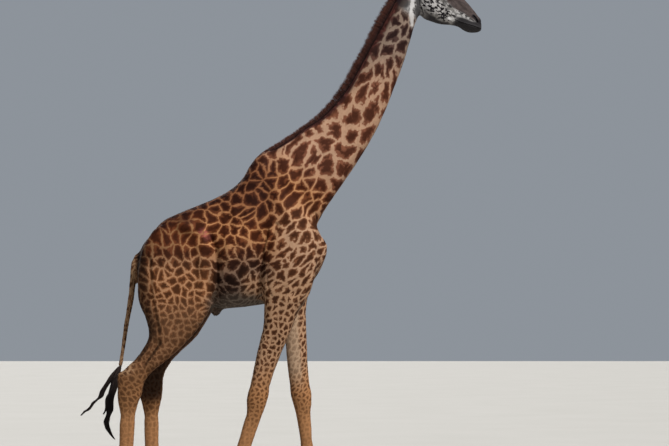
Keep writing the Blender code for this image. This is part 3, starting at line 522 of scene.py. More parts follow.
def refine_head(mesh):
    """Gives the head smaller faces, and eyes, nostrils and lips the smallest."""
    refine(mesh, on_head(vertex_points(mesh)) > 0.5)
    points = vertex_points(mesh)
    place = in_head(points)
    fine = (path_distance(place[:, :2], NOSTRIL) < 0.022) | (path_distance(place[:, :2], MOUTH) < 0.016)
    refine(mesh, (fine & (on_head(points) > 0.5) & (place[:, 0] < 0.30)) | (from_eyes(points) < 0.052))
    refine(mesh, from_eyes(vertex_points(mesh)) < FINE_REACH)


def triangle_count(mesh):
    return len(mesh.loops) - 2 * len(mesh.polygons)


def thin_out(skin):
    """Brings the skin down to its share of triangles, and keeps the small ones for the face."""
    points = vertex_points(skin.data)
    place = in_head(points)
    features = np.minimum(path_distance(place[:, :2], NOSTRIL), path_distance(place[:, :2], MOUTH))
    fine = (features < 0.012) & (place[:, 0] < 0.28) & (on_head(points) > 0.5)
    fine |= from_eyes(points) < FINE_REACH
    weights = np.where(fine, 0.0, 1 - 0.6 * on_head(points) - 0.2 * ramp(points[:, 2], 0.5, 0.3))
    weight_group(skin, "thin", weights)
    thin = skin.modifiers.new("thin", "DECIMATE")
    thin.ratio = SKIN_TRIANGLES / triangle_count(skin.data)
    thin.vertex_group = "thin"
    thin.vertex_group_factor = 0.00005
    apply_modifiers(skin)
    skin.vertex_groups.clear()


def unwrap(obj):
    """Gives a piece an unwrap, which the tufts that stand on it share."""
    obj.data.uv_layers.new(name=UNWRAP)
    pick_only(obj)
    bpy.ops.object.mode_set(mode="EDIT")
    bpy.ops.mesh.select_all(action="SELECT")
    bpy.ops.uv.smart_project(angle_limit=1.15, island_margin=0.004)
    bpy.ops.object.mode_set(mode="OBJECT")


def build_skin():
    """The whole skin: fused, softened, sculpted and unwrapped."""
    skin = fused_flesh()
    soften(skin)
    sculpt_body(skin.data)
    refine_head(skin.data)
    sculpt_head(skin.data)
    sculpt_lids(skin.data)
    move_vertices(skin.data, inside_box(vertex_points(skin.data), BOX_ROOM, BOX_EASE))
    thin_out(skin)
    unwrap(skin)
    return skin


# ---------------------------------------------------------------- what the coat looks like where

# Two colours for each part of the coat: the ground, and the patches on it
BACK_COAT = (0.188, 0.074, 0.031), (0.019, 0.0045, 0.0019)
FLANK_COAT = (0.365, 0.170, 0.070), (0.046, 0.0105, 0.0030)
# The low flank's colours are its own darker coat with painted shade, for the barrel curving under.
LOW_FLANK_COAT_AND_SHADE = (0.140, 0.085, 0.058), (0.012, 0.0041, 0.0020)
CHEST_COAT = (0.350, 0.207, 0.124), (0.054, 0.0175, 0.0064)
LOW_NECK_COAT = (0.360, 0.212, 0.132), (0.064, 0.0190, 0.0090)
HIGH_NECK_COAT = (0.205, 0.145, 0.108), (0.022, 0.0095, 0.0078)
THIGH_COAT = (0.320, 0.160, 0.078), (0.064, 0.0215, 0.0072)
ARM_COAT = (0.315, 0.182, 0.103), (0.048, 0.0170, 0.0068)
SHIN_COAT = (0.275, 0.130, 0.054), (0.064, 0.0240, 0.0086)
# The belly's colours are its own greyer coat darkened with painted shade.
BELLY_COAT_AND_SHADE = (0.135, 0.105, 0.082), (0.018, 0.0110, 0.0080)
TAIL_COAT = (0.270, 0.160, 0.085), (0.065, 0.0270, 0.0120)
CHEEK_COAT = (0.340, 0.320, 0.305), (0.012, 0.0100, 0.0115)
CREST, SCAR = (0.040, 0.0130, 0.0100), (0.36, 0.100, 0.088)
# The inner hind legs' colour is painted shade: a near-black brown for the shade between the hind legs.
CREAM, INNER_THIGH_SHADE = (0.380, 0.270, 0.178), (0.034, 0.021, 0.015)
NOSE_BROWN, LIP_BLACK = (0.062, 0.046, 0.042), (0.013, 0.0115, 0.0135)
WHITE = (0.560, 0.540, 0.520)
NECK_SLOPE = math.radians(59)
UP_NECK = np.array((math.cos(NECK_SLOPE), math.sin(NECK_SLOPE)))
ACROSS_NECK = np.array((math.sin(NECK_SLOPE), -math.cos(NECK_SLOPE)))
DOWN_NECK = np.array((-math.cos(NECK_SLOPE), 0, -math.sin(NECK_SLOPE)))


class Girth:
    """How far the body reaches from its middle plane, on the outer and the inner side, in side view."""

    STEP = 0.05
    MARGIN = 0.20

    def __init__(self, points, normals):
        flat = side_view(points)
        self.low = flat.min(axis=0) - self.MARGIN
        shape = tuple(np.ceil((flat.max(axis=0) + self.MARGIN - self.low) / self.STEP).astype(int))
        cells = tuple(((flat - self.low) / self.STEP).astype(int).T)
        out = np.abs(points[:, 1])
        widest, narrowest = np.full(shape, -1.0), np.full(shape, 1.0)
        np.maximum.at(widest, cells, out)
        inner = (normals[:, 1] * np.sign(points[:, 1]) < -0.5) & (points[:, 2] < 2.0)
        np.minimum.at(narrowest, tuple(cell[inner] for cell in cells), out[inner])
        # Cells without an inner side reach through to the body's other side, and cells that hold nothing
        # take what is around them
        empty = widest < 0
        for _ in range(2):
            widest, narrowest = self.nearby(widest, np.max), self.nearby(narrowest, np.min)
        narrowest = np.where((narrowest > 0.9) & ~empty, -widest, narrowest)
        for _ in range(10):
            widest = np.where(widest < 0, self.nearby(widest, np.max), widest)
            known = self.nearby(np.where(narrowest > 0.9, -1.0, narrowest), np.max)
            narrowest = np.where((narrowest > 0.9) & (known > -0.9), known, narrowest)
        widest = np.where(widest < 0, 0.1, widest)
        narrowest = np.where(narrowest > 0.9, -widest, narrowest)
        for _ in range(3):
            widest, narrowest = self.nearby(widest, np.mean), self.nearby(narrowest, np.mean)
        self.widest, self.narrowest = widest, narrowest

    def nearby(self, grid, rule):
        """The rule's answer for each cell of the grid and the eight around it."""
        padded = np.pad(grid, 1, mode="edge")
        rows, columns = grid.shape
        shifted = [padded[i : i + rows, j : j + columns] for i in range(3) for j in range(3)]
        return rule(np.stack(shifted), axis=0)

    def sample(self, grid, points):
        """The grid's value at each place, blended between its cells."""
        place = (side_view(points) - self.low) / self.STEP - 0.5
        cell = np.clip(place.astype(int), 0, np.array(grid.shape) - 2)
        (i, j), (u, v) = cell.T, np.clip(place - cell, 0, 1).T
        lower = grid[i, j] * (1 - u) + grid[i + 1, j] * u
        upper = grid[i, j + 1] * (1 - u) + grid[i + 1, j + 1] * u
        return lower * (1 - v) + upper * v

    def spread(self, points, normals):
        """Places in side view, moved outwards where the surface turns away, so that nothing is squeezed."""
        widest, narrowest = self.sample(self.widest, points), self.sample(self.narrowest, points)
        out = np.abs(points[:, 1])
        inner = ramp(normals[:, 1] * np.sign(points[:, 1]), 0.15, -0.15) * (points[:, 2] < 2.1)
        away = np.clip((widest - out) * (1 - inner) + (out - narrowest) * inner, 0, None)
        half = np.maximum(np.maximum((widest - narrowest) / 2, away), 0.02)
        facing = side_view(normals)
        facing = facing / np.maximum(np.linalg.norm(facing, axis=1, keepdims=True), 1e-3)
        return side_view(points) + facing * (0.6 * away**2 / half)[:, None]


# How large the marks are: pairs of place and size. Down the legs the place is a height, and up the
# neck it is the distance from the neck's foot.
TRUNK_MARK = 0.122
NECK_FOOT = at("neck", 0.19, 0.14)
LEGS_PART = -0.57  # forelegs lie before this place and hind legs behind it
HIND_MARKS = [(0.2, 0.046), (0.9, 0.050), (1.3, 0.060), (1.8, 0.078), (2.2, 0.100), (2.5, 0.122)]
FORE_MARKS = [(0.2, 0.042), (0.9, 0.045), (1.4, 0.053), (1.9, 0.070), (2.2, 0.094), (2.5, 0.122)]
# Each pair of legs: its middle along the body, its marks, and where its own pattern starts and is full
PAIRS_OF_LEGS = [(-1.15, HIND_MARKS, -0.45, -0.78), (0.10, FORE_MARKS, -0.50, -0.26)]
NECK_LONG_MARKS = [(0.0, 0.122), (0.3, 0.205), (1.1, 0.205), (1.7, 0.155), (2.6, 0.105)]
NECK_WIDE_MARKS = [(0.0, 0.122), (0.3, 0.155), (1.1, 0.145), (1.7, 0.112), (2.6, 0.085)]


def marks_along(place, sizes):
    """The mark size at each place, and how many marks lie between it and the table's end by the trunk."""
    steps = np.linspace(sizes[0][0], sizes[-1][0], 200)
    size = np.interp(steps, *np.array(sizes).T)
    middles = (1 / size[1:] + 1 / size[:-1]) / 2
    count = np.concatenate([[0], np.cumsum(middles * np.diff(steps))])
    return np.interp(place, steps, size), np.interp(place, steps, count), count[-1]


def mark_chart(girth, points, normals):
    """Places counted in marks, for one even pattern of marks that grow and shrink over the body."""
    flat = girth.spread(points, normals)
    x, z = flat.T
    across, up = x / TRUNK_MARK, z / TRUNK_MARK
    steps = np.linspace(-2.5, 1.5, 1600)
    for middle, sizes, inner, outer in PAIRS_OF_LEGS:
        run = np.cumsum(ramp(steps, inner, outer)) * (steps[1] - steps[0])
        run -= np.interp(inner, steps, run)
        own = ramp(z, 1.95, 1.75) * ((x > LEGS_PART) == (middle > LEGS_PART))
        from_middle = np.interp(x, steps, run) - np.interp(middle, steps, run)
        from_middle += (x - middle - from_middle) * own
        size, count, total = marks_along(z, sizes)
        held, _, _ = marks_along(np.maximum(z, 1.85), sizes)  # below this height each leg is on its own
        across += (1 / held - 1 / TRUNK_MARK) * np.interp(middle, steps, run)
        across += (1 / size - 1 / TRUNK_MARK) * from_middle
        limb = sizes[-1][0] / TRUNK_MARK + count - total
        up = np.where(z < sizes[-1][0], up + (limb - up) * np.maximum(ramp(x, inner, outer), own), up)
    made = np.stack([across, up], axis=1)
    along, across = (flat - NECK_FOOT) @ UP_NECK, (flat - NECK_FOOT) @ ACROSS_NECK
    wide = np.interp(along, *np.array(NECK_WIDE_MARKS).T)
    _, count, _ = marks_along(along, NECK_LONG_MARKS)
    neck = NECK_FOOT / TRUNK_MARK + np.outer(count, UP_NECK) + np.outer(across / wide, ACROSS_NECK)
    return np.where((along > 0)[:, None], neck, made)


def zone_weights(points):
    """How far each place belongs to neck, thigh, arm and head; what is left over is trunk."""
    x, _, z = points.T
    head = on_head(points)
    neck = ramp((side_view(points) - NECK_FOOT) @ UP_NECK, -0.06, 0.34) * (1 - head)
    thigh = np.maximum(ramp(x, -0.60, -0.74) * ramp(z, 2.40, 2.10), on_tail(points))
    arm = ramp(x, -0.42, -0.32) * ramp(z, 2.24, 2.02) * (1 - neck) * (1 - head)
    return neck, thigh, arm, head


THIGH_GROOVE = [(0.44, 0.40), (0.36, 0.64), (0.32, 0.88), (0.31, 1.10)]


def thigh_rear_shade(points):
    """Where painted shade darkens the rear edge of each thigh: 1 behind the groove that runs down it."""
    behind = np.zeros(len(points))
    for side, name in SIDE_NAMES.items():
        groove = np.array(trail(f"hindleg_{name}_upper", THIGH_GROOVE))
        line = np.interp(points[:, 2], groove[:, 1], groove[:, 0])
        here = ramp(points[:, 2], groove[0, 1] - 0.10, groove[0, 1] + 0.05) * (points[:, 1] * side > 0)
        behind = np.maximum(behind, ramp(points[:, 0], line + 0.005, line - 0.030) * here)
    return behind


def laid_over(coat, colours, share):
    """The coat's two colours with another pair laid over them, by a share for each place."""
    return [blend(own, new, share) for own, new in zip(coat, colours)]


def dimmed(colour, share):
    """The colour made darker by a share for each place."""
    return colour * (1 - share)[:, None]


def body_coat(points, normals, wander):
    """The coat of trunk, neck, thighs and arms, with painted shade on the low flank, the rump and the rear of
    the thighs; also half its net's width, and how ragged its patches are.
    """
    x, y, z = points.T
    neck, thigh, arm, _ = zone_weights(points)
    tail = on_tail(points)

    top = ramp(z + 0.10 * wander, 2.50, 2.95) * ramp(x, 0.10, -0.20)
    top = np.maximum(top, ramp(normals[:, 2], 0.35, 0.8) * (x < 0.1))
    # The low flank takes darker colours: partly its own coat, partly painted shade under the barrel.
    low = ramp(z + 0.10 * wander, 2.54, 2.12)
    chest = ramp(x + 0.06 * wander, -0.14, 0.12) * ramp(z, 3.0, 2.5)
    # Painted shade: the ground over the rump is darkened.
    rump = ramp(x + 0.10 * wander, -0.72, -1.00) * ramp(z, 2.15, 2.40)
    coat = laid_over(FLANK_COAT, BACK_COAT, top)
    coat = laid_over(coat, LOW_FLANK_COAT_AND_SHADE, low)
    coat = laid_over(coat, CHEST_COAT, chest)
    coat = [dimmed(coat[0], 0.44 * rump), coat[1]]
    half = 0.050 + 0.006 * low + 0.028 * chest
    rag = 0.50 + 0.30 * low + 0.40 * chest

    coat = laid_over(coat, laid_over(LOW_NECK_COAT, HIGH_NECK_COAT, ramp(z, 3.9, 4.5)), neck)
    half += (0.080 - half) * neck
    rag += (0.80 - rag) * neck

    coat = laid_over(coat, THIGH_COAT, thigh)
    # Painted shade: rear-facing surfaces of the hind quarters and the rear edge of each thigh are darkened.
    rear = ramp(normals[:, 0] + 0.08 * wander, -0.34, -0.62) * ramp(x, -0.90, -1.05) * ramp(z, 1.0, 1.3)
    rear = np.maximum(rear, thigh_rear_shade(points)) * (1 - tail) * ramp(z, 2.60, 2.30)
    coat = [dimmed(colour, 0.66 * rear) for colour in coat]
    half += (0.066 - half) * thigh
    rag += (0.60 - rag) * thigh

    coat = laid_over(coat, ARM_COAT, arm)
    half += (0.120 - half) * arm
    rag += (0.95 - rag) * arm

    crest = neck * ramp(np.abs(y) + 0.006 * wander, 0.100, 0.076)
    crest = crest * ramp(side_view(normals) @ ACROSS_NECK, -0.05, -0.3)
    return laid_over(coat, (CREST, CREST), crest), half, rag


def lower_coat(coat, half, points, normals, wander):
    """The coat with belly, shins, inner legs and tail, with painted shade on the belly, the hind legs and
    inside the hind legs; also half its net's width, and how faint its marks are.
    """
    x, y, z = points.T
    neck, *_ = zone_weights(points)
    tail = on_tail(points)

    under = (z > 1.66) * ramp(x, -0.95, -0.80) * ramp(x, 0.36, 0.20) * (1 - neck)
    low_side = ramp(z + 0.05 * wander, 2.00, 1.90) * ramp(x, -0.78, -0.66) * ramp(x, -0.26, -0.34)
    # Downward-facing surfaces under the body and the low sides take the belly's coat, which is partly painted
    # shade.
    belly = np.maximum(ramp(normals[:, 2], -0.30, -0.80) * under, 0.7 * low_side)
    coat = laid_over(coat, BELLY_COAT_AND_SHADE, belly)

    shin = ramp(z + 0.05 * wander, 1.35, 0.98) * (1 - tail)
    shin_fade = shin * (0.15 + 0.55 * ramp(z + 0.10 * wander, 0.95, 0.60))
    coat = laid_over(coat, SHIN_COAT, shin)
    # Painted shade: the hind legs are darkened from the lower thigh down, fading out towards the floor.
    gaskin_shade = ramp(z + 0.08 * wander, 1.96, 1.60) * ramp(z, 0.60, 1.20) * (x < LEGS_PART) * (1 - tail)
    coat = [dimmed(coat[0], 0.38 * gaskin_shade), dimmed(coat[1], 0.30 * gaskin_shade)]

    inner = ramp(normals[:, 1] * np.sign(y), -0.15, -0.70) * ramp(z, 2.05, 1.85) * (1 - tail)
    # Painted shade: the inner side of the hind legs takes a near-black brown, and its patches are darkened.
    hind = inner * (x < LEGS_PART) * ramp(z, 0.84, 0.96)
    fore = inner * ramp(normals[:, 0] + 0.2 * wander, 0.45, 0.05) * ramp(z, 0.95, 1.25) * (x > LEGS_PART)
    ground = blend(blend(coat[0], CREAM, 0.70 * fore), INNER_THIGH_SHADE, 0.90 * hind)
    coat = laid_over((ground, dimmed(coat[1], 0.5 * hind)), TAIL_COAT, tail)
    fade = np.max([0.35 * belly, shin_fade, 0.25 * gaskin_shade, 0.60 * fore], axis=0)
    return coat, half + 0.03 * shin + 0.08 * tail, fade


def paint(points, normals):
    """The coat's ground, its patches, and how its marks are drawn, three numbers for each place.

    The marks' numbers are half the net's width, how ragged the patches are, and how faint.
    """
    wander = soft_noise(points, 0.30, 5)
    coat, half, rag = body_coat(points, normals, wander)
    (ground, patch), half, fade = lower_coat(coat, half, points, normals, wander)

    scar = stroke(path_distance(side_view(points), trail("trunk", [(0.355, 0.505), (0.385, 0.475)])), 0.055)
    right = (points[:, 1] < 0) * ramp(np.abs(normals[:, 1]), 0.2, 0.5)
    scar *= right * (0.55 + 0.45 * soft_noise(points, 0.018, 6))
    ground, patch = blend(ground, SCAR, 0.55 * scar), blend(patch, SCAR, 0.5 * scar)

    pale, dark = throat_bands(points)
    ground = blend(blend(ground, WHITE, 0.85 * pale), LIP_BLACK, 0.85 * dark)
    fade = np.max([fade, 0.85 * pale, 0.85 * dark], axis=0)

    head = on_head(points)
    face, face_fade = paint_face(points, normals, wander)
    ground, patch = blend(ground, face, head), blend(patch, CHEEK_COAT[1], head)
    fade += (face_fade - fade) * head
    return ground, patch, np.stack([half, rag, fade], axis=1)


def throat_bands(points):
    """Pale and dark bands across the side of the throat, and a dark place below the ear."""
    flat = in_head(points)[:, :2]
    flat = flat + 0.016 * np.stack([soft_noise(points, 0.045, 12), soft_noise(points, 0.045, 13)], axis=1)
    pale = stroke(path_distance(flat, [(0.695, -0.150), (0.632, -0.280), (0.552, -0.400)]), 0.025)
    pale = pale * ramp(np.abs(points[:, 1]), 0.020, 0.065) * ramp(flat[:, 1], -0.42, -0.32)
    pale = np.minimum(2.2 * pale, 1)
    dark = stroke(path_distance(flat, [(0.650, -0.110), (0.597, -0.215), (0.566, -0.270)]), 0.036)
    behind = stroke(path_distance(flat, [(0.870, -0.160), (0.800, -0.205), (0.750, -0.235)]), 0.090)
    dark = np.minimum(1.8 * np.maximum(dark, behind), 1) * (1 - pale)
    return pale, dark


def paint_face(points, normals, wander):
    """A brown nose, mottled grey cheeks, a pale streak down from the eye, dark lips, and painted shade under
    the jaw.

    Gives the face's colour, and how far it hides the mottling.
    """
    place = in_head(points)
    flat, back, height, out = place[:, :2], place[:, 0], place[:, 1], np.abs(place[:, 2])
    wander = wander + soft_noise(points, 0.04, 8)
    bridge = np.interp(back, (0.05, 0.20, 0.33, 0.42, 0.47), (-0.012, -0.012, -0.022, 0.000, 0.060))
    nose = ramp(height + 0.006 * wander, bridge, bridge + 0.022)
    nose = np.maximum(nose, ramp(back, 0.60, 0.68) * ramp(height, 0.0, 0.06))
    streak = [(0.430, 0.015), (0.405, -0.022), (0.330, -0.044), (0.200, -0.034), (0.100, -0.030)]
    streak = stroke(path_distance(flat, streak), 0.030)
    jaw = ramp(height + 0.008 * wander, -0.140, -0.172) * ramp(back, 0.16, 0.28) * ramp(back, 0.60, 0.45)
    above = ramp(height - mouth_line(back) + 0.006 * wander, 0.052, 0.034)
    above = above * ramp(back + 0.01 * wander, 0.27, 0.20)
    lips = np.maximum(ramp(back + 0.35 * height, 0.085, 0.025), above)
    # Painted shade: the jaw's downward-facing underside takes the lips' black, the rest of the jaw only a
    # little.
    lips = np.maximum(lips, jaw * np.maximum(0.10, ramp(normals @ RISE, -0.40, -0.80)))
    lips = np.maximum(lips, ramp(path_distance(flat, NOSTRIL), 0.022, 0.010))
    corner = ramp(path_distance(flat, [(0.252, -0.108), (0.292, -0.114)]), 0.022, 0.012)
    corner = corner * ramp(out, 0.02, 0.05)
    rim = ramp(from_eyes(points), 0.042, 0.034)
    behind = stroke(path_distance(flat, [(0.62, -0.02), (0.66, 0.05)]), 0.075)
    pale, dark = throat_bands(points)
    ground = np.tile(CHEEK_COAT[0], (len(points), 1))
    for colour, share in (
        (NOSE_BROWN, nose),
        (WHITE, 0.45 * streak * (1 - lips)),
        (WHITE, 0.85 * pale),
        (LIP_BLACK, 0.95 * lips * (1 - corner)),
        (WHITE, 0.95 * corner),
        (LIP_BLACK, 0.85 * np.maximum(behind, dark)),
        (LIP_BLACK, 0.95 * rim),
    ):
        ground = blend(ground, colour, share)
    plain = nose * 0.70 + streak * 0.45 + lips + corner + rim + behind + pale + dark
    return ground, np.clip(plain, 0, 1)


def hair_direction(points, normals):
    """The way the hair lies: back over the head, down the neck and legs, back along the trunk."""
    x, _, z = points.T
    neck, _, _, head = zone_weights(points)
    lie = np.tile(np.array((-0.85, 0, -0.50)), (len(points), 1))
    lie = blend(lie, (-0.30, 0, -0.95), np.maximum(ramp(z, 2.1, 1.8), ramp(x, -0.85, -1.10)))
    lie = blend(lie, DOWN_NECK, neck)
    lie = blend(lie, BACK, head)
    lie = lie - normals * np.sum(lie * normals, axis=1, keepdims=True)
    return lie / np.maximum(np.linalg.norm(lie, axis=1, keepdims=True), 1e-6)


def combed(points):
    """Places squeezed along the hair, so that noise laid over them runs in streaks with it."""
    neck, _, _, head = zone_weights(points)
    made = np.zeros_like(points)
    body = 1 - np.clip(neck + head, 0, 1)
    legs = ramp(points[:, 2], 2.1, 1.8) * body
    for lie, share in (((-0.86, 0, -0.51), body - legs), ((0, 0, -1), legs), (DOWN_NECK, neck), (BACK, head)):
        lie = np.array(lie, float)
        made += (points - 0.88 * np.outer(points @ lie, lie)) * share[:, None]
    return made


# ---------------------------------------------------------------- recipes for the finishes


class Wire:
    """A socket's value. Sums and products on it add the Math nodes that work them out."""

    def __init__(self, recipe, socket):
        self.recipe = recipe
        self.socket = socket

    def __add__(self, other):
        return self.recipe.math("ADD", self, other)

    def __sub__(self, other):
        return self.recipe.math("SUBTRACT", self, other)

    def __rsub__(self, other):
        return self.recipe.math("SUBTRACT", other, self)

    def __mul__(self, other):
        return self.recipe.math("MULTIPLY", self, other)

    __radd__ = __add__
    __rmul__ = __mul__


class Recipe:
    """A material's nodes."""

    def __init__(self, name, gloss=0.5):
        self.material = bpy.data.materials.new(name)
        self.material.use_nodes = True
        self.tree = self.material.node_tree
        self.shader = self.tree.nodes["Principled BSDF"]
        self.shader.inputs["Specular IOR Level"].default_value = gloss

    def node(self, kind, settings=None, inputs=None):
        """A node of a kind, with its settings, and values or wires put into its sockets."""
        made = self.tree.nodes.new(kind)
        for name, value in (settings or {}).items():
            setattr(made, name, value)
        for name, value in (inputs or {}).items():
            self.feed(made.inputs[name], value)
        return made

    def feed(self, socket, value):
        if isinstance(value, Wire):
            self.tree.links.new(value.socket, socket)
        else:
            socket.default_value = value

    def out(self, node, name=0):
        return Wire(self, node.outputs[name])

    def math(self, operation, *values):
        return self.out(self.node("ShaderNodeMath", {"operation": operation}, dict(enumerate(values))))

    def vector_math(self, operation, *values):
        inputs = dict(enumerate(values))
        return self.out(self.node("ShaderNodeVectorMath", {"operation": operation}, inputs))

    def scaled(self, vector, factor):
        inputs = {0: vector, "Scale": factor}
        return self.out(self.node("ShaderNodeVectorMath", {"operation": "SCALE"}, inputs))

    def flattened(self, vector):
        """The vector without its third number."""
        return self.vector_math("MULTIPLY", vector, (1, 1, 0))

    def length(self, vector):
        return self.out(self.node("ShaderNodeVectorMath", {"operation": "LENGTH"}, {0: vector}), "Value")

    def attribute(self, name, output="Vector"):
        return self.out(self.node("ShaderNodeAttribute", {"attribute_name": name}), output)

    def parts(self, vector):
        node = self.node("ShaderNodeSeparateXYZ", None, {0: vector})
        return [self.out(node, k) for k in range(3)]

    def ramp(self, value, low, high):
        """Smoothly from 0 at low to 1 at high."""
        inputs = {"Value": value, "From Min": low, "From Max": high}
        return self.out(self.node("ShaderNodeMapRange", {"interpolation_type": "SMOOTHSTEP"}, inputs))

    def noise(self, vector, scale, detail=2.0, output="Fac"):
        inputs = {"Vector": vector, "Scale": scale, "Detail": detail}
        return self.out(self.node("ShaderNodeTexNoise", None, inputs), output)

    def mix(self, share, first, second):
        """From the first colour to the second."""
        as_colour = [value if isinstance(value, Wire) else (*value, 1) for value in (first, second)]
        inputs = {0: share, 6: as_colour[0], 7: as_colour[1]}
        return self.out(self.node("ShaderNodeMix", {"data_type": "RGBA"}, inputs), 2)

    def darker(self, colour, amount):
        """The colour times a number."""
        grey = self.out(self.node("ShaderNodeCombineColor", None, {0: amount, 1: amount, 2: amount}))
        settings = {"data_type": "RGBA", "blend_type": "MULTIPLY"}
        return self.out(self.node("ShaderNodeMix", settings, {0: 1.0, 6: colour, 7: grey}), 2)

    def bump(self, height, distance, strength=1.0):
        inputs = {"Height": height, "Distance": distance, "Strength": strength}
        return self.out(self.node("ShaderNodeBump", None, inputs))

    def finish(self, colour, roughness, normal=None):
        self.feed(self.shader.inputs["Base Color"], colour)
        self.feed(self.shader.inputs["Roughness"], roughness)
        if normal is not None:
            self.feed(self.shader.inputs["Normal"], normal)
        return self.material


def coat_colour(recipe, grain):
    """The markings: dark leaf-shaped patches with ragged edges, on a paler ground.

    The grain is how strongly single hairs show. Gives the colour and the pattern of the hairs.
    """
    root, chart = recipe.attribute("root"), recipe.attribute("chart")
    ground, patch = recipe.attribute("ground", "Color"), recipe.attribute("patch", "Color")
    half, rag, fade = recipe.parts(recipe.attribute("marks"))
    face = recipe.parts(chart)[2]
    flat = recipe.flattened(chart)
    for scale, amount in ((0.9, 4.0), (4.5, 0.95), (28.0, rag * 0.42)):
        bends = recipe.vector_math("SUBTRACT", recipe.noise(root, scale, 2.0, "Color"), (0.5, 0.5, 0.5))
        flat = recipe.vector_math("ADD", flat, recipe.scaled(bends, amount))
    edge, seed = [
        recipe.out(
            recipe.node(
                "ShaderNodeTexVoronoi",
                {"feature": feature, "voronoi_dimensions": "2D"},
                {"Vector": flat, "Scale": 1.0, "Randomness": 0.80},
            ),
            output,
        )
        for feature, output in (("DISTANCE_TO_EDGE", "Distance"), ("F1", "Position"))
    ]
    around = recipe.flattened(recipe.vector_math("NORMALIZE", recipe.vector_math("SUBTRACT", flat, seed)))
    leaf = recipe.vector_math("ADD", recipe.scaled(around, 1.25), recipe.scaled(seed, 5.3))
    leaf = recipe.ramp(recipe.noise(leaf, 1.0, 0.0), 0.50, 0.74)
    depth = edge - half
    body = recipe.ramp(depth - leaf * rag * 0.16, -0.022, 0.030)
    core = recipe.ramp(depth - leaf * 0.24, 0.00, 0.22)
    along_face = recipe.scaled(recipe.vector_math("ADD", root, recipe.attribute("lie")), 0.5)
    mottle = recipe.ramp(recipe.noise(along_face, 50.0, 2.5), 0.472, 0.54)
    inside = body * (1 - face) + mottle * face
    blotch = recipe.noise(root, 9.0, 2.0)
    fine = recipe.noise(recipe.attribute("lie"), 260.0, 2.0)
    rim = recipe.mix(0.10, recipe.darker(patch, 2.2), ground)
    patch = recipe.mix(core * (1 - face) + face, rim, recipe.darker(patch, 0.85))
    patch = recipe.darker(patch, 0.64 + blotch * 0.72)
    ground = recipe.darker(ground, 0.80 + blotch * 0.38)
    colour = recipe.mix(inside * (1 - fade), ground, patch)
    return recipe.darker(colour, 1 - grain / 2 + fine * grain), fine


def hide_material():
    """The skin under the tufts, with fine hair drawn on it."""
    recipe = Recipe("hide", 0.06)
    colour, fine = coat_colour(recipe, 0.48)
    normal = recipe.bump(fine, 0.0012, 0.8)
    return recipe.finish(colour, 0.72, normal)


def hair_material():
    """The tufts, marked as the skin is, each with a shade of its own."""
    recipe = Recipe("hair", 0.06)
    colour, _ = coat_colour(recipe, 0.20)
    return recipe.finish(recipe.darker(colour, recipe.attribute("shade", "Fac")), 0.66)


def long_hair_material(name, root, middle, tip, roughness):
    """Long hair that changes from root to tip, with a shade of its own for each strand."""
    recipe = Recipe(name, 0.12)
    along = recipe.attribute("along", "Fac")
    colour = recipe.mix(recipe.ramp(along, 0.05, 0.55), root, middle)
    colour = recipe.mix(recipe.ramp(along, 0.50, 1.0), colour, tip)
    bands = recipe.noise(recipe.attribute("root"), 7.0, 2.0)
    colour = recipe.darker(colour, recipe.attribute("shade", "Fac") * (0.55 + bands * 0.9))
    return recipe.finish(colour, roughness)


def horn_material():
    """Skin over bone: brown and short-haired below, black at the rim, bald and worn on top."""
    recipe = Recipe("horn")
    along = recipe.attribute("along", "Fac")
    worn = recipe.noise(recipe.attribute("place"), 60.0, 3.0)
    black = recipe.ramp(along + worn * 0.10, 0.55, 0.80)
    colour = recipe.mix(black, (0.10, 0.055, 0.035), (0.020, 0.014, 0.012))
    bald = recipe.ramp(along + worn * 0.08, 0.88, 0.95)
    colour = recipe.mix(bald, colour, (0.105, 0.080, 0.066))
    colour = recipe.darker(colour, 0.65 + worn * 0.7)
    normal = recipe.bump(recipe.noise(recipe.attribute("place"), 240.0, 3.0), 0.001, 0.7)
    return recipe.finish(colour, 0.72 - bald * 0.27, normal)


def hoof_material():
    """Dark grown horn with growth rings, paler and chipped towards the floor."""
    recipe = Recipe("hoof")
    place = recipe.attribute("place")
    height = recipe.parts(place)[2]
    wander = recipe.noise(place, 14.0, 2.0)
    rings = recipe.math("SINE", height * 520.0 + wander * 14.0)
    grain = recipe.noise(recipe.vector_math("MULTIPLY", place, (1, 1, 0.10)), 330.0, 2.0)
    colour = recipe.mix(recipe.ramp(grain, 0.35, 0.70), (0.030, 0.024, 0.020), (0.085, 0.066, 0.052))
    dust = recipe.ramp(height + wander * 0.03, 0.055, 0.0)
    colour = recipe.mix(dust * 0.75, colour, (0.22, 0.165, 0.115))
    colour = recipe.darker(colour, 0.86 + rings * 0.06 + wander * 0.1)
    normal = recipe.bump(rings * 0.35 + grain * 0.6 + wander, 0.0009, 0.6)
    return recipe.finish(colour, 0.50 + dust * 0.30, normal)


PUPIL_LENGTH, PUPIL_HEIGHT = 0.0095, 0.0052  # half the lying oval's size


def eye_material():
    """A dark wet eye: a lying oval pupil, a brown iris with fine rays and a dark rim."""
    recipe = Recipe("eye", 0.0)
    gaze = recipe.attribute("gaze")
    pupil = recipe.length(recipe.vector_math("MULTIPLY", gaze, (1 / PUPIL_LENGTH, 1 / PUPIL_HEIGHT, 0)))
    across = recipe.flattened(gaze)
    rays = recipe.noise(recipe.vector_math("NORMALIZE", across), 9.0, 3.0)
    iris = recipe.mix(rays, (0.010, 0.004, 0.002), (0.036, 0.015, 0.007))
    iris = recipe.mix(recipe.ramp(recipe.length(across), 0.0145, 0.0180), iris, (0.008, 0.006, 0.005))
    colour = recipe.mix(recipe.ramp(pupil, 1.08, 0.92), iris, (0.002, 0.002, 0.003))
    recipe.shader.inputs["Coat Weight"].default_value = 0.45
    recipe.shader.inputs["Coat Roughness"].default_value = 0.04
    return recipe.finish(colour, 0.05)


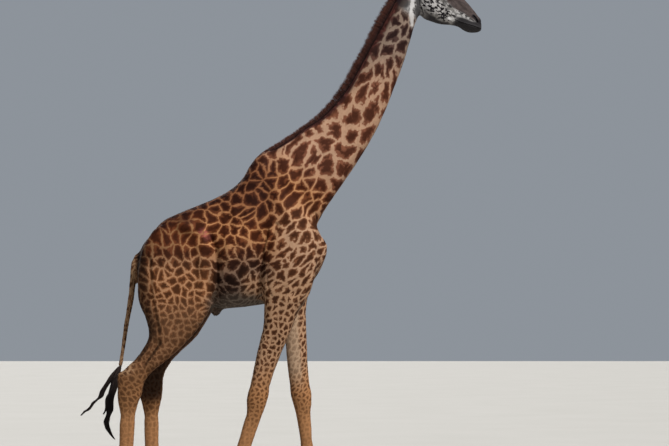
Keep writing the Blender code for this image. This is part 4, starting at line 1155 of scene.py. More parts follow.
def ear_material():
    """Short brown-grey hair outside, pale skin and hair inside, a dark rim."""
    recipe = Recipe("ear", 0.25)
    inner, rim, along = recipe.parts(recipe.attribute("parts_of_ear"))
    place = recipe.attribute("place")
    fine = recipe.noise(place, 190.0, 3.0)
    patches = recipe.noise(place, 26.0, 2.0)
    outside = recipe.mix(recipe.ramp(patches, 0.45, 0.60), (0.30, 0.23, 0.17), (0.085, 0.050, 0.034))
    inside = recipe.mix(recipe.ramp(along, 0.1, 0.6), (0.20, 0.130, 0.110), (0.46, 0.41, 0.36))
    colour = recipe.mix(recipe.ramp(inner, 0.35, 0.65), outside, inside)
    colour = recipe.mix(rim * 0.75, colour, (0.055, 0.038, 0.030))
    colour = recipe.darker(colour, 0.72 + fine * 0.56)
    return recipe.finish(colour, 0.75, recipe.bump(fine, 0.0010, 0.7))


def floor_material():
    """Plain pale paint, a little cloudy."""
    recipe = Recipe("floor", 0.1)
    place = recipe.out(recipe.node("ShaderNodeTexCoord"), "Object")
    colour = recipe.mix(recipe.noise(place, 0.7, 3.0), (0.40, 0.38, 0.345), (0.44, 0.42, 0.385))
    return recipe.finish(colour, 0.9)


def write_attribute(mesh, name, values, repeat=1):
    """Puts numbers or vectors on a mesh's corners, each of them on as many corners as repeat says."""
    values = np.repeat(np.asarray(values, np.float32), repeat, axis=0)
    kind = "FLOAT" if values.ndim == 1 else "FLOAT_VECTOR"
    layer = mesh.attributes.new(name, kind, "POINT")
    layer.data.foreach_set("value" if values.ndim == 1 else "vector", values.ravel())


def write_paint(mesh, girth, points, normals, repeat=1):
    """Writes what the coat's finish needs onto a mesh: one value per root, for its corners."""
    ground, patch, marks = paint(points, normals)
    chart = np.column_stack([mark_chart(girth, points, normals), on_head(points)])
    values = {"root": points, "lie": combed(points), "chart": chart}
    values |= {"ground": ground, "patch": patch, "marks": marks}
    for name, value in values.items():
        write_attribute(mesh, name, value, repeat)


def dress(obj, material, slot, *replaced):
    """Gives a finished piece its material and its place in the frame."""
    obj.data.materials.clear()
    obj.data.materials.append(material)
    obj.data.shade_smooth()
    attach(obj, "root")
    if replaced:
        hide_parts(*replaced)


# ---------------------------------------------------------------- the coat

TUFT_PIECES = 5
TUFTS_IN_PIECE = 19500
TUFT_CORNERS = 7
TUFT_FACES = [(0, 1, 2), (0, 3, 4, 1), (1, 4, 5, 2), (3, 6, 4), (4, 6, 5)]
TUFT_SPREAD = np.array([(-0.5, -0.5), (0, -0.5), (0.5, -0.5), (-0.4, 0), (0, 0), (0.4, 0), (0, 0.5)])
UNWRAP_PATCH = 0.003
EDGE_ROOM = 0.0003  # tufts end this far inside the frame's box


def surface_places(mesh, count, density, rng):
    """Places spread over a mesh: their points, normals and places on its unwrap."""
    mesh.calc_loop_triangles()
    total = len(mesh.loop_triangles)
    corners, loops = np.empty(total * 3, np.int32), np.empty(total * 3, np.int32)
    area = np.empty(total, np.float32)
    mesh.loop_triangles.foreach_get("vertices", corners)
    mesh.loop_triangles.foreach_get("loops", loops)
    mesh.loop_triangles.foreach_get("area", area)
    corners, loops = corners.reshape(-1, 3), loops.reshape(-1, 3)
    points, normals = vertex_points(mesh), vertex_normals(mesh)
    unwrapped = np.empty(len(mesh.loops) * 2, np.float32)
    mesh.uv_layers[UNWRAP].data.foreach_get("uv", unwrapped)
    unwrapped = unwrapped.reshape(-1, 2)
    middles = points[corners].mean(axis=1)
    share = np.cumsum(area * density(middles, normals[corners].mean(axis=1)))
    wanted = (np.arange(count) + rng.random(count)) / count * share[-1]
    picked = np.minimum(np.searchsorted(share, wanted), total - 1)
    first, second = rng.random(count), rng.random(count)
    over = first + second > 1
    first, second = np.where(over, 1 - first, first), np.where(over, 1 - second, second)
    weights = np.stack([1 - first - second, first, second], axis=1)[:, :, None]
    root = (points[corners[picked]] * weights).sum(axis=1)
    normal = (normals[corners[picked]] * weights).sum(axis=1)
    normal /= np.linalg.norm(normal, axis=1, keepdims=True)
    return root, normal, (unwrapped[loops[picked]] * weights).sum(axis=1)


def faces_mesh(name, points, faces):
    """A mesh of many like shapes: points is shapes x corners x 3, faces are one shape's."""
    shapes, corners = points.shape[:2]
    mesh = bpy.data.meshes.new(name)
    sizes = np.array([len(face) for face in faces])
    order = np.concatenate([np.array(face) for face in faces])
    indices = (order[None, :] + np.arange(shapes)[:, None] * corners).ravel()
    starts = np.concatenate([[0], np.cumsum(np.tile(sizes, shapes))[:-1]])
    mesh.vertices.add(shapes * corners)
    mesh.loops.add(len(indices))
    mesh.polygons.add(shapes * len(faces))
    mesh.vertices.foreach_set("co", points.astype(np.float32).ravel())
    mesh.loops.foreach_set("vertex_index", indices.astype(np.int32))
    mesh.polygons.foreach_set("loop_start", starts.astype(np.int32))
    mesh.update(calc_edges=True)
    return mesh, order


def unwrap_shapes(mesh, order, places, spread):
    """Lays each shape on a small patch of the unwrap, at its own place there."""
    layer = mesh.uv_layers.new(name=UNWRAP)
    corners = places[:, None, :] + spread[None, order, :] * UNWRAP_PATCH
    layer.data.foreach_set("uv", corners.astype(np.float32).ravel())


def tuft_points(root, normal, lie, length, width, lift, tip_lift):
    """The corners of flat tapered tufts: three at the root, three halfway and the tip."""
    side = np.cross(normal, lie)
    length, width = length[:, None], width[:, None]
    middle = root + lie * length * 0.5 + normal * lift[:, None]
    tip = root + lie * length + normal * tip_lift[:, None]
    return np.stack(
        [
            root - side * width * 0.5 - normal * 0.0014,
            root - normal * 0.0004,
            root + side * width * 0.5 - normal * 0.0014,
            middle - side * width * 0.42,
            middle + normal * width * 0.16,
            middle + side * width * 0.42,
            tip,
        ],
        axis=1,
    )


def short_haired(points):
    """1 on head and throat."""
    place = in_head(points)
    return ramp(place[:, 0], 1.00, 0.80) * ramp(place[:, 1], -0.52, -0.36)


def hair_size(points):
    """How long the hair is at a place: 20 mm on the body and least on face and feet."""
    long = 0.020 - 0.006 * ramp(points[:, 2], 1.4, 0.7)
    long = long - (long - 0.008) * short_haired(points)
    long = long - (long - 0.006) * on_head(points) * ramp(in_head(points)[:, 0], 0.30, 0.12)
    return long + 0.014 * over_hoof(points)


def over_hoof(points):
    """1 where the hair hangs down over the top of the hooves."""
    return ramp(points[:, 2], 0.190, 0.165)


def hair_density(points, normals):
    """How thickly tufts grow: most on head and feet, where they are small, and where the form turns over."""
    small = 0.020 / hair_size(points)
    turning = ramp(np.abs(normals[:, 1]), 0.55, 0.15)
    bare = np.ones(len(points))
    for side in (RIGHT, LEFT):
        middle, radius, *_ = eye_frame(side)
        bare *= ramp(np.linalg.norm(points - middle, axis=1), radius + 0.003, radius + 0.010)
    head = on_head(points)
    nostril = path_distance(in_head(points)[:, :2], NOSTRIL)
    bare *= np.where(head > 0.5, ramp(nostril, 0.008, 0.014), 1)
    bare *= 1 - 0.8 * head * ramp(np.abs(normals[:, 1]), 0.60, 0.80)
    above_claws = points[:, 2] > 0.138
    return small * (0.8 + 0.5 * turning) * (1 + 7 * over_hoof(points)) * bare * above_claws


def shade_like_skin(mesh, normals, repeat):
    """Flat-lying hair takes the light as the skin under it does."""
    normals = normals / np.linalg.norm(normals, axis=1, keepdims=True)
    mesh.normals_split_custom_set_from_vertices(np.repeat(normals, repeat, axis=0).tolist())


def add_coat(skin, girth):
    """The coat of the whole body, in a few pieces that each cover all of it."""
    hair = hair_material()
    for number in range(TUFT_PIECES):
        rng = np.random.default_rng(100 + number)
        root, normal, places = surface_places(skin.data, TUFTS_IN_PIECE, hair_density, rng)
        lie = hair_direction(root, normal)
        side = np.cross(normal, lie)
        turn = 0.30 * soft_noise(root, 0.12, 7) + rng.normal(0, 0.16, len(root))
        lie = lie * np.cos(turn)[:, None] + side * np.sin(turn)[:, None]
        size = hair_size(root)
        length = size * rng.uniform(0.75, 1.2, len(root))
        width = size * rng.uniform(0.14, 0.22, len(root)) * (1 - 0.5 * over_hoof(root))
        face = short_haired(root)
        lift = 0.0006 - 0.0010 * face + size * rng.uniform(0.005, 0.045, len(root))
        hang = over_hoof(root) * rng.uniform(0.6, 1.0, len(root))
        points = tuft_points(root, normal, lie, length, width, lift + 0.010 * hang, 0.0006 + 0.024 * hang)
        points = np.clip(points, np.array(CAD_LOW) + EDGE_ROOM, np.array(CAD_HIGH) - EDGE_ROOM)
        mesh, order = faces_mesh(f"coat_{number + 1}", points, TUFT_FACES)
        unwrap_shapes(mesh, order, places, TUFT_SPREAD)
        write_paint(mesh, girth, root, normal, TUFT_CORNERS)
        shade = 1 + rng.uniform(-0.16, 0.20, len(root)) * (1 - 0.6 * face)
        write_attribute(mesh, "shade", shade, TUFT_CORNERS)
        dress(new_object(mesh.name, mesh), hair, "hide")
        shade_like_skin(mesh, normal + side * rng.normal(0, 0.10, len(root))[:, None], TUFT_CORNERS)


# ---------------------------------------------------------------- long hair: mane, tassel and lashes


def strand_faces(levels):
    """The faces of one strand: rings of three corners, closed at the root, and a tip."""
    faces = [(2, 1, 0)]
    for first in range(0, 3 * (levels - 1), 3):
        faces += [(first + k, first + (k + 1) % 3, first + 3 + (k + 1) % 3, first + 3 + k) for k in range(3)]
    last = 3 * (levels - 1)
    return faces + [(last + k, last + (k + 1) % 3, last + 3) for k in range(3)]


def strand_corners(paths, width, across):
    """Corners of tapered strands along their paths, each a row of points from root to tip."""
    levels = paths.shape[1] - 1
    tangent = np.gradient(paths, axis=1)
    tangent /= np.linalg.norm(tangent, axis=2, keepdims=True)
    side = np.cross(tangent, np.broadcast_to(across, tangent.shape))
    side /= np.maximum(np.linalg.norm(side, axis=2, keepdims=True), 1e-6)
    other = np.cross(tangent, side)
    taper = 1 - 0.72 * (np.arange(levels) / levels) ** 2
    rows = []
    for level in range(levels):
        for k in range(3):
            turn = 2 * math.pi * k / 3
            arm = side[:, level] * math.cos(turn) + other[:, level] * math.sin(turn)
            rows.append(paths[:, level] + arm * (width * taper[level] / 2)[:, None])
    return np.stack([*rows, paths[:, -1]], axis=1)


def rows_of_places(count, columns):
    """Places on an unwrap for so many strands, row by row."""
    number = np.arange(count)
    return np.column_stack([(number % columns + 0.5) / columns, (number // columns + 0.5) / columns])


def strand_piece(name, paths, width, across, places, shade):
    """One piece of long hair. Places say where on the piece's unwrap each strand is laid."""
    levels = paths.shape[1] - 1
    mesh, order = faces_mesh(name, strand_corners(paths, width, across), strand_faces(levels))
    corners = np.arange(3 * levels + 1)
    along = np.minimum(corners // 3, levels) / levels
    spread = np.column_stack([(corners % 3 - 1) / 2.4, along - 0.5])
    unwrap_shapes(mesh, order, places, spread)
    write_attribute(mesh, "root", paths[:, 0], len(corners))
    write_attribute(mesh, "shade", shade, len(corners))
    write_attribute(mesh, "along", np.tile(along, len(paths)))
    return new_object(name, mesh)


def tree_of(mesh):
    points = vertex_points(mesh)
    return BVHTree.FromPolygons(points.tolist(), [tuple(face.vertices) for face in mesh.polygons])


def mane_crest():
    """The mane's top edge in side view, evenly stepped from the withers to the poll."""
    points = vertex_points(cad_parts["mane"].data)
    points = points[np.abs(points[:, 1]) < 0.001]
    flat = side_view(points)
    along, out = flat @ UP_NECK, flat @ -ACROSS_NECK
    apart = np.abs(along[:, None] - along[None, :])
    top = (out[None, :] - 0.6 * apart < out[:, None] + 0.001).all(axis=1)
    crest = flat[top][np.argsort(along[top])]
    run = np.concatenate([[0], np.cumsum(np.linalg.norm(np.diff(crest, axis=0), axis=1))])
    steps = np.linspace(0, run[-1], 240)
    crest = np.stack([np.interp(steps, run, crest[:, k]) for k in range(2)], axis=1)
    padded = np.pad(crest, ((5, 5), (0, 0)), mode="reflect", reflect_type="odd")
    crest = np.stack([np.convolve(padded[:, k], np.full(11, 1 / 11), mode="valid") for k in range(2)], axis=1)
    return crest, steps


MANE_STRANDS = 7800


def mane_roots(skin, top, inward, out):
    """Where strands that stand in from the mane's top edge meet the skin, and which of them do."""
    nape = tree_of(skin.data)
    roots, kept = [], []
    for k, (start, way) in enumerate(zip(top, inward)):
        start = start + np.array((0, out[k] * 0.034, 0)) - way * 0.03
        hit = nape.ray_cast(Vector(start), Vector(way), 0.30)[0]
        if hit is not None:
            roots.append(hit)
            kept.append(k)
    return np.array(roots), kept


def add_mane(skin):
    """The upright mane: short stiff hair in clumps, along the nape."""
    rng = np.random.default_rng(11)
    crest, steps = mane_crest()
    along = np.sort(rng.random(MANE_STRANDS)) * steps[-1]
    out = rng.uniform(-1, 1, MANE_STRANDS)
    tangents = np.gradient(crest, axis=0)
    tangents /= np.linalg.norm(tangents, axis=1, keepdims=True)
    level = np.zeros(MANE_STRANDS)
    top, run = (
        np.column_stack([np.interp(along, steps, line[:, 0]), level, np.interp(along, steps, line[:, 1])])
        for line in (crest, tangents)
    )
    inward = np.cross(np.array((0, 1, 0)), run) * -1
    inward *= np.sign(-inward[:, 2:3])
    roots, kept = mane_roots(skin, top, inward, out)
    top, run, inward, out, along = top[kept], run[kept], inward[kept], out[kept], along[kept]
    clump = np.floor(along / 0.007 + out * 1.6)
    clump_height = lattice_value(np.column_stack([clump, clump * 0, clump * 0]).astype(np.int64), 3)
    foot = roots * [1, 0, 1]
    height = np.linalg.norm(top - foot, axis=1)
    reach = (0.84 + 0.16 * clump_height) * rng.uniform(0.88, 1.0, len(top)) * (1 - 0.30 * out**2)
    lean = 0.006 + (clump_height - 0.5) * 0.008 + rng.normal(0, 0.003, len(top))
    tip = foot - inward * (height * reach)[:, None] + run * lean[:, None]
    tip[:, 1] = out * 0.015 + (clump_height - 0.5) * 0.004
    share = np.linspace(0, 1, 5)[None, :, None]
    sunk = roots + inward * 0.005
    paths = sunk[:, None] + (tip - sunk)[:, None] * share
    paths[:, :, 1] = sunk[:, 1:2] + (tip[:, 1:2] - sunk[:, 1:2]) * share[:, :, 0] ** 1.6
    paths += (run * 0.004 * np.sign(lean)[:, None])[:, None] * np.sin(share * math.pi)
    places = np.column_stack([0.02 + 0.96 * along / steps[-1], 0.5 + 0.45 * out])
    shade = rng.uniform(0.65, 1.3, len(top)) * (0.8 + 0.4 * clump_height)
    width = rng.uniform(0.0024, 0.0040, len(top))
    mane = strand_piece("mane_hair", paths, width, (0, 1, 0), places, shade)
    maroon = (0.020, 0.007, 0.006), (0.058, 0.018, 0.012), (0.145, 0.056, 0.037)
    finish = long_hair_material("mane hair", *maroon, 0.6)
    dress(mane, finish, "mane_hair", "mane")


# The tassel's locks: places in the tassel's box (along, across, up) and the lock's half thickness there
LOCKS = [
    [
        *((0.940, 0.56, 0.990, 0.026), (0.850, 0.58, 0.840, 0.058), (0.800, 0.56, 0.700, 0.062)),
        *((0.700, 0.55, 0.520, 0.050), (0.720, 0.54, 0.380, 0.040), (0.620, 0.54, 0.260, 0.032)),
        *((0.660, 0.55, 0.150, 0.022), (0.740, 0.56, 0.075, 0.012), (0.830, 0.56, 0.006, 0.003)),
    ],
    [
        *((0.935, 0.56, 0.995, 0.026), (0.800, 0.62, 0.900, 0.052), (0.690, 0.68, 0.790, 0.054)),
        *((0.560, 0.70, 0.690, 0.046), (0.480, 0.70, 0.560, 0.036), (0.330, 0.68, 0.520, 0.026)),
        *((0.210, 0.66, 0.400, 0.015), (0.110, 0.64, 0.390, 0.008), (0.016, 0.62, 0.326, 0.002)),
    ],
    [
        *((0.940, 0.56, 0.985, 0.024), (0.860, 0.38, 0.850, 0.044), (0.790, 0.34, 0.690, 0.040)),
        *((0.650, 0.34, 0.560, 0.026), (0.640, 0.36, 0.430, 0.012), (0.560, 0.38, 0.340, 0.004)),
    ],
]
TASSEL_STRANDS = 3000


def add_tassel():
    """The tail's tassel: long black hair in three locks that split into wisps."""
    rng = np.random.default_rng(12)
    low, high = BOX["tail_tassel"]
    levels, paths = 8, []
    for lock, share in zip(LOCKS, (0.42, 0.36, 0.22)):
        line = np.array(lock)
        middle, half = low + (high - low) * line[:, [0, 1, 2]], line[:, 3]
        run = np.concatenate([[0], np.cumsum(np.linalg.norm(np.diff(middle, axis=0), axis=1))])
        count = int(TASSEL_STRANDS * share)
        start = rng.uniform(0, 0.45, count) ** 1.3
        end = np.minimum(start + rng.uniform(0.40, 0.75, count), 1.0)
        end = np.where(rng.random(count) < 0.16, 1.0, end)
        turn, reach = rng.uniform(0, 2 * math.pi, count), np.sqrt(rng.random(count))
        wave, phase = rng.uniform(0.6, 1.4, count), rng.uniform(0, 2 * math.pi, count)
        for k in range(count):
            steps = np.linspace(start[k], end[k], levels + 1)
            at_run = steps * run[-1]
            centre = np.stack([np.interp(at_run, run, middle[:, i]) for i in range(3)], axis=1)
            width = np.interp(at_run, run, half)
            swing = turn[k] + 0.9 * (steps - start[k])
            offset = np.stack([np.cos(swing) * 0.75, np.sin(swing) * 0.8, np.cos(swing) * 0.45], axis=1)
            centre += offset * (width * reach[k])[:, None]
            ripple = 0.0045 * wave[k] * np.sin(steps * 16 + phase[k]) * (steps - start[k]) * 2
            centre += np.outer(ripple, (0.8, 0.3, -0.4))
            paths.append(centre)
    paths = np.clip(np.array(paths), low + 0.0015, high - np.array((0.002, 0.0015, 0.0)))
    count = len(paths)
    shade = rng.uniform(0.6, 1.5, count)
    width = rng.uniform(0.0026, 0.0048, count)
    tassel = strand_piece("tassel_hair", paths, width, (0, 1, 0), rows_of_places(count, 60), shade)
    black = (0.018, 0.011, 0.009), (0.013, 0.010, 0.010), (0.022, 0.016, 0.014)
    finish = long_hair_material("tassel hair", *black, 0.5)
    dress(tassel, finish, "tassel_hair", "tail_tassel")


# ---------------------------------------------------------------- eyes and lashes


def select_in_edit(obj, chosen):
    """Opens a piece in edit mode with the chosen corners selected."""
    pick_only(obj)
    bpy.ops.object.mode_set(mode="EDIT")
    bpy.ops.mesh.select_mode(type="VERT")
    bpy.ops.mesh.select_all(action="DESELECT")
    bpy.ops.object.mode_set(mode="OBJECT")
    for vertex in obj.data.vertices:
        vertex.select = bool(chosen(vertex.co))
    bpy.ops.object.mode_set(mode="EDIT")


def finish_piece(obj, name):
    """Puts the piece's place into its mesh."""
    if obj.mode == "EDIT":
        bpy.ops.object.mode_set(mode="OBJECT")
    obj.name = name
    obj.data.name = name
    pick_only(obj)
    bpy.ops.object.transform_apply(location=True, rotation=True, scale=True)
    return obj


def add_eye(side, finish):
    """An eyeball with a raised cornea."""
    middle, radius, outward, forward, upward = eye_frame(side)
    bpy.ops.mesh.primitive_uv_sphere_add(segments=48, ring_count=32, radius=radius - 0.0006)
    ball = bpy.context.object
    select_in_edit(ball, lambda co: co.z > radius * 0.94)
    bpy.ops.transform.translate(value=(0, 0, 0.0016), use_proportional_edit=True, proportional_size=0.011)
    finish_piece(ball, f"eyeball_{SIDE_NAMES[side]}")
    gaze = vertex_points(ball.data)
    turned = Matrix.Translation(middle) @ Matrix((forward, upward, outward)).transposed().to_4x4()
    ball.data.transform(turned)
    if turned.determinant() < 0:
        ball.data.flip_normals()
    write_attribute(ball.data, "gaze", gaze)
    dress(ball, finish, "eye", f"eye_{SIDE_NAMES[side]}")


UPPER_LASHES, LOWER_LASHES = 76, 30


def add_lashes(side, finish):
    """Long lashes on the upper lid and short ones on the lower."""
    rng = np.random.default_rng(21)
    middle, radius, outward, forward, upward = eye_frame(side)
    upper = np.radians(np.linspace(12, 172, UPPER_LASHES) + rng.uniform(-1.5, 1.5, UPPER_LASHES))
    lower = np.radians(np.linspace(200, 340, LOWER_LASHES) + rng.uniform(-3, 3, LOWER_LASHES))
    turn = np.concatenate([upper, lower])
    count = len(turn)
    is_upper = np.arange(count) < UPPER_LASHES
    radial = lid_opening(turn) + 0.0012
    across, up = np.cos(turn) * radial, np.sin(turn) * radial
    out = np.sqrt((radius + 0.0022) ** 2 - radial**2)
    length = np.where(is_upper, rng.uniform(0.020, 0.030, count), rng.uniform(0.007, 0.012, count))
    share = np.linspace(0, 1, 6)[None, :]
    reach = length[:, None] * share
    droop = np.where(is_upper, -0.42, -0.35)[:, None] * reach * (1 - 0.9 * share)
    outwards = reach * np.where(is_upper, 0.80, 0.6)[:, None]
    sweep = reach * np.cos(turn)[:, None] * 0.55
    paths = middle + (
        (across[:, None] + sweep)[:, :, None] * forward
        + (up[:, None] + droop)[:, :, None] * upward
        + (out[:, None] - 0.002 + outwards)[:, :, None] * outward
    )
    places = np.column_stack([np.linspace(0.05, 0.95, count), np.full(count, 0.5)])
    width = np.where(is_upper, 0.0011, 0.0008)
    lashes = strand_piece(f"lashes_{SIDE_NAMES[side]}", paths, width, forward, places, np.ones(count))
    dress(lashes, finish, "tassel_hair")


# ---------------------------------------------------------------- horns


HORN_RADIUS, HORN_LENGTH = 0.033, 0.205
# (radius, height) up the horn, as shares of the two sizes above
HORN_PROFILE = [
    *((1.04, -0.16), (1.00, 0.02), (0.93, 0.14), (0.86, 0.30), (0.78, 0.48), (0.76, 0.62)),
    *((0.82, 0.73), (0.91, 0.82), (0.93, 0.88), (0.86, 0.93), (0.70, 0.962), (0.42, 0.98)),
]


def turned_piece(name, profile, sides):
    """A round piece raised ring by ring from a circle, closed at both ends."""
    radius, height = profile[0]
    foot = (0, 0, height)
    bpy.ops.mesh.primitive_circle_add(vertices=sides, radius=radius, fill_type="NGON", location=foot)
    obj = bpy.context.object
    bpy.ops.object.mode_set(mode="EDIT")
    bpy.ops.mesh.select_all(action="SELECT")
    bpy.ops.mesh.flip_normals()
    for (before, low), (after, high) in zip(profile, profile[1:]):
        bpy.ops.mesh.extrude_region_move(TRANSFORM_OT_translate={"value": (0, 0, high - low)})
        share = after / before
        bpy.ops.transform.resize(value=(share, share, 1), center_override=(0, 0, high))
    bpy.ops.mesh.inset(thickness=profile[-1][0] * 0.5)
    bpy.ops.mesh.select_all(action="SELECT")
    bpy.ops.mesh.normals_make_consistent(inside=False)
    return finish_piece(obj, name)


def round_off(obj, levels):
    """Subdivides a piece's faces into a smooth form."""
    rounder = obj.modifiers.new("rounder", "SUBSURF")
    rounder.levels = levels
    rounder.render_levels = levels
    apply_modifiers(obj)


def horn_stand(side):
    """Where a horn's foot is on the head, and which way the horn points."""
    return head_place(0.612, 0.168, 0.064 * side), Vector((-0.30, 0.10 * side, 0.95)).normalized()


def add_horn(side, finish):
    """A horn of bone under skin, thick and blunt, with a bald top."""
    name = SIDE_NAMES[side]
    horn = turned_piece(f"ossicone_{name}", [(r * HORN_RADIUS, h * HORN_LENGTH) for r, h in HORN_PROFILE], 20)
    round_off(horn, 2)
    points, normals = vertex_points(horn.data), vertex_normals(horn.data)
    along = np.clip(points[:, 2] / HORN_LENGTH, 0, 1)
    knobs = 0.0014 * soft_noise(points + side, 0.022, 31) + 0.0007 * soft_noise(points + side, 0.009, 32)
    move_vertices(horn.data, points + normals * (knobs - 0.0012)[:, None])
    foot, lean = horn_stand(side)
    horn.data.transform(Matrix.Translation(foot) @ lean.to_track_quat("Z", "Y").to_matrix().to_4x4())
    write_attribute(horn.data, "along", along)
    write_attribute(horn.data, "place", vertex_points(horn.data))
    dress(horn, finish, "horn", f"horn_{name}")
    unwrap(horn)
    return horn


HORN_TUFTS = 1500


def add_horn_hair(side, horn, finish):
    """Short tufts up the horn, longer and blacker at its rim."""
    rng = np.random.default_rng(33)
    foot, lean = horn_stand(side)
    axis = np.array(lean)

    def share_up(points):
        return (points - foot) @ axis / HORN_LENGTH

    def density(points, _):
        up = share_up(points)
        return (up > 0.0) * (up < 0.84) * (1 + ramp(up, 0.60, 0.75))

    root, normal, places = surface_places(horn.data, HORN_TUFTS, density, rng)
    lie = axis - normal * (normal @ axis)[:, None]
    lie /= np.linalg.norm(lie, axis=1, keepdims=True)
    lie += np.cross(normal, lie) * rng.normal(0, 0.22, len(root))[:, None]
    up = share_up(root)
    size = 0.011 + 0.003 * ramp(up, 0.60, 0.80)
    length = size * rng.uniform(0.8, 1.2, len(root))
    lift = 0.0008 + size * rng.uniform(0.02, 0.08, len(root))
    points = tuft_points(root, normal, lie, length, size * 0.16, lift, lift)
    mesh, order = faces_mesh(f"horn_hair_{SIDE_NAMES[side]}", points, TUFT_FACES)
    unwrap_shapes(mesh, order, places, TUFT_SPREAD)
    write_attribute(mesh, "root", root, TUFT_CORNERS)
    write_attribute(mesh, "along", ramp(up, 0.55, 0.80), TUFT_CORNERS)
    write_attribute(mesh, "shade", rng.uniform(0.7, 1.3, len(root)), TUFT_CORNERS)
    dress(new_object(mesh.name, mesh), finish, "horn")


# ---------------------------------------------------------------- ears


EAR_LENGTH = 0.228
# Half the ear's width at shares of its length
EAR_OUTLINE = [
    *((0.00, 0.019), (0.10, 0.029), (0.28, 0.046), (0.50, 0.053)),
    *((0.72, 0.042), (0.88, 0.021), (1.00, 0.003)),
]
EAR_COLUMNS, EAR_ROWS = 12, 24
EAR_THICKNESS = 0.0065
EAR_STRANDS = 420


def ear_half(along):
    return np.interp(along, *np.array(EAR_OUTLINE).T)


def ear_leaf(name):
    """The ear as a leaf that stands on the origin, rolled at its root and cupped towards +Y."""
    bpy.ops.mesh.primitive_grid_add(x_subdivisions=EAR_COLUMNS, y_subdivisions=EAR_ROWS, size=2)
    ear = bpy.context.object
    flat = vertex_points(ear.data)
    across, along = flat[:, 0], (flat[:, 1] + 1) / 2
    half = ear_half(along)
    roll = 0.62 - 0.12 * ramp(along, 0.0, 0.4)
    depth = roll * half * across**2
    depth += 0.0035 * stroke(np.abs(across) - 0.45, 0.18) * ramp(along, 0.1, 0.3) * ramp(along, 0.95, 0.6)
    wave = 0.0025 * np.sin(along * 9 + across * 2) * across**2
    move_vertices(ear.data, np.column_stack([half * across * 0.985, depth + wave, along * EAR_LENGTH]))
    wall = ear.modifiers.new("wall", "SOLIDIFY")
    wall.thickness = EAR_THICKNESS
    wall.offset = 0
    apply_modifiers(ear)
    round_off(ear, 1)
    return finish_piece(ear, name)


def ear_stand(side):
    """The turn that puts an ear on the head, and which way its cup opens."""
    root = head_place(0.655, 0.085, 0.088 * side)
    point = Vector((-0.42, 0.80 * side, 0.42)).normalized()
    across = Vector((0.55, 0.35 * side, -0.10)).cross(point).normalized()
    opening = point.cross(across).normalized()
    return Matrix.Translation(root) @ Matrix((across, opening, point)).transposed().to_4x4(), opening


def add_ear(side, finish):
    """A long leaf-shaped ear, which knows its inside, its dark rim and its length."""
    name = SIDE_NAMES[side]
    ear = ear_leaf(f"ear_leaf_{name}")
    points, normals = vertex_points(ear.data), vertex_normals(ear.data)
    along = np.clip(points[:, 2] / EAR_LENGTH, 0, 1)
    edge = np.abs(points[:, 0]) / np.maximum(ear_half(along), 0.003)
    rim = ramp(edge, 0.86, 0.97) * ramp(along, 0.15, 0.3)
    parts = np.column_stack([ramp(normals[:, 1], -0.2, 0.2), np.maximum(rim, ramp(along, 0.93, 0.98)), along])
    ear.data.transform(ear_stand(side)[0])
    write_attribute(ear.data, "parts_of_ear", parts)
    write_attribute(ear.data, "place", vertex_points(ear.data))
    dress(ear, finish, "hide", f"ear_{name}")


def add_ear_hair(side, finish):
    """Pale hair that grows in from the ear's edges over its cup."""
    name = SIDE_NAMES[side]
    rng = np.random.default_rng(41)
    count = EAR_STRANDS
    along = rng.uniform(0.06, 0.90, count)
    edge = np.sign(rng.uniform(-1, 1, count)) * rng.uniform(0.45, 0.93, count)
    half = ear_half(along)
    start = np.column_stack([half * edge, 0.60 * half * edge**2 + 0.002, along * EAR_LENGTH])
    reach = rng.uniform(0.016, 0.030, count) * (1 - 0.4 * along)
    heading = np.column_stack([-np.sign(edge) * 0.62, np.full(count, 0.34), np.full(count, 0.70)])
    heading += rng.normal(0, 0.14, heading.shape)
    share = np.linspace(0, 1, 5)[None, :, None]
    paths = start[:, None] + heading[:, None] * reach[:, None, None] * share
    paths[:, :, 1] -= 0.010 * share[:, :, 0] ** 2
    stand, opening = ear_stand(side)
    stand, opening = np.array(stand), np.array(opening)
    paths = paths @ stand[:3, :3].T + stand[:3, 3]
    low, high = BOX[f"ear_{name}"]
    paths = np.clip(paths, low - 0.006, high + 0.006)
    shade = rng.uniform(0.8, 1.2, count)
    places = rows_of_places(count, 30)
    hair = strand_piece(f"ear_hair_{name}", paths, np.full(count, 0.0016), opening, places, shade)
    dress(hair, finish, "hide")
    shade_like_skin(hair.data, np.tile(opening, (count, 1)), len(hair.data.vertices) // count)


# ---------------------------------------------------------------- hooves


CLAW_SIDES, CLEFT_SIDES = 26, 6  # sides of the whole claw, and how many of them face the cleft
CLAW_LIFT = 0.0002  # keeps the sole just clear of the floor
# Up the claw: height share, length share, width share, and how far it moves back in shares of its length
CLAW_LEVELS = [
    *((0.000, 0.965, 0.93, 0.000), (0.030, 1.000, 1.00, 0.000), (0.110, 0.985, 0.99, -0.005)),
    *((0.260, 0.945, 0.965, -0.020), (0.440, 0.890, 0.94, -0.042), (0.620, 0.825, 0.905, -0.066)),
    *((0.800, 0.760, 0.87, -0.092), (1.000, 0.680, 0.82, -0.122)),
]


def claw_outline():
    """The sole as shares of its length and width: round outside, blunt behind and flat at the cleft."""
    last = CLAW_SIDES - CLEFT_SIDES - 1
    outline = []
    for k in range(last + 1):
        turn = math.pi * (k / last - 0.5)
        blunt = 0.62 if turn < 0 else 1.0
        outline.append((math.sin(turn) * 0.5, 0.035 + 0.955 * max(math.cos(turn), 0) ** blunt))
    for k in range(1, CLEFT_SIDES + 1):
        share = k / (CLEFT_SIDES + 1)
        outline.append((0.5 - share, 0.035 + 0.05 * math.sin(share * math.pi)))
    return outline


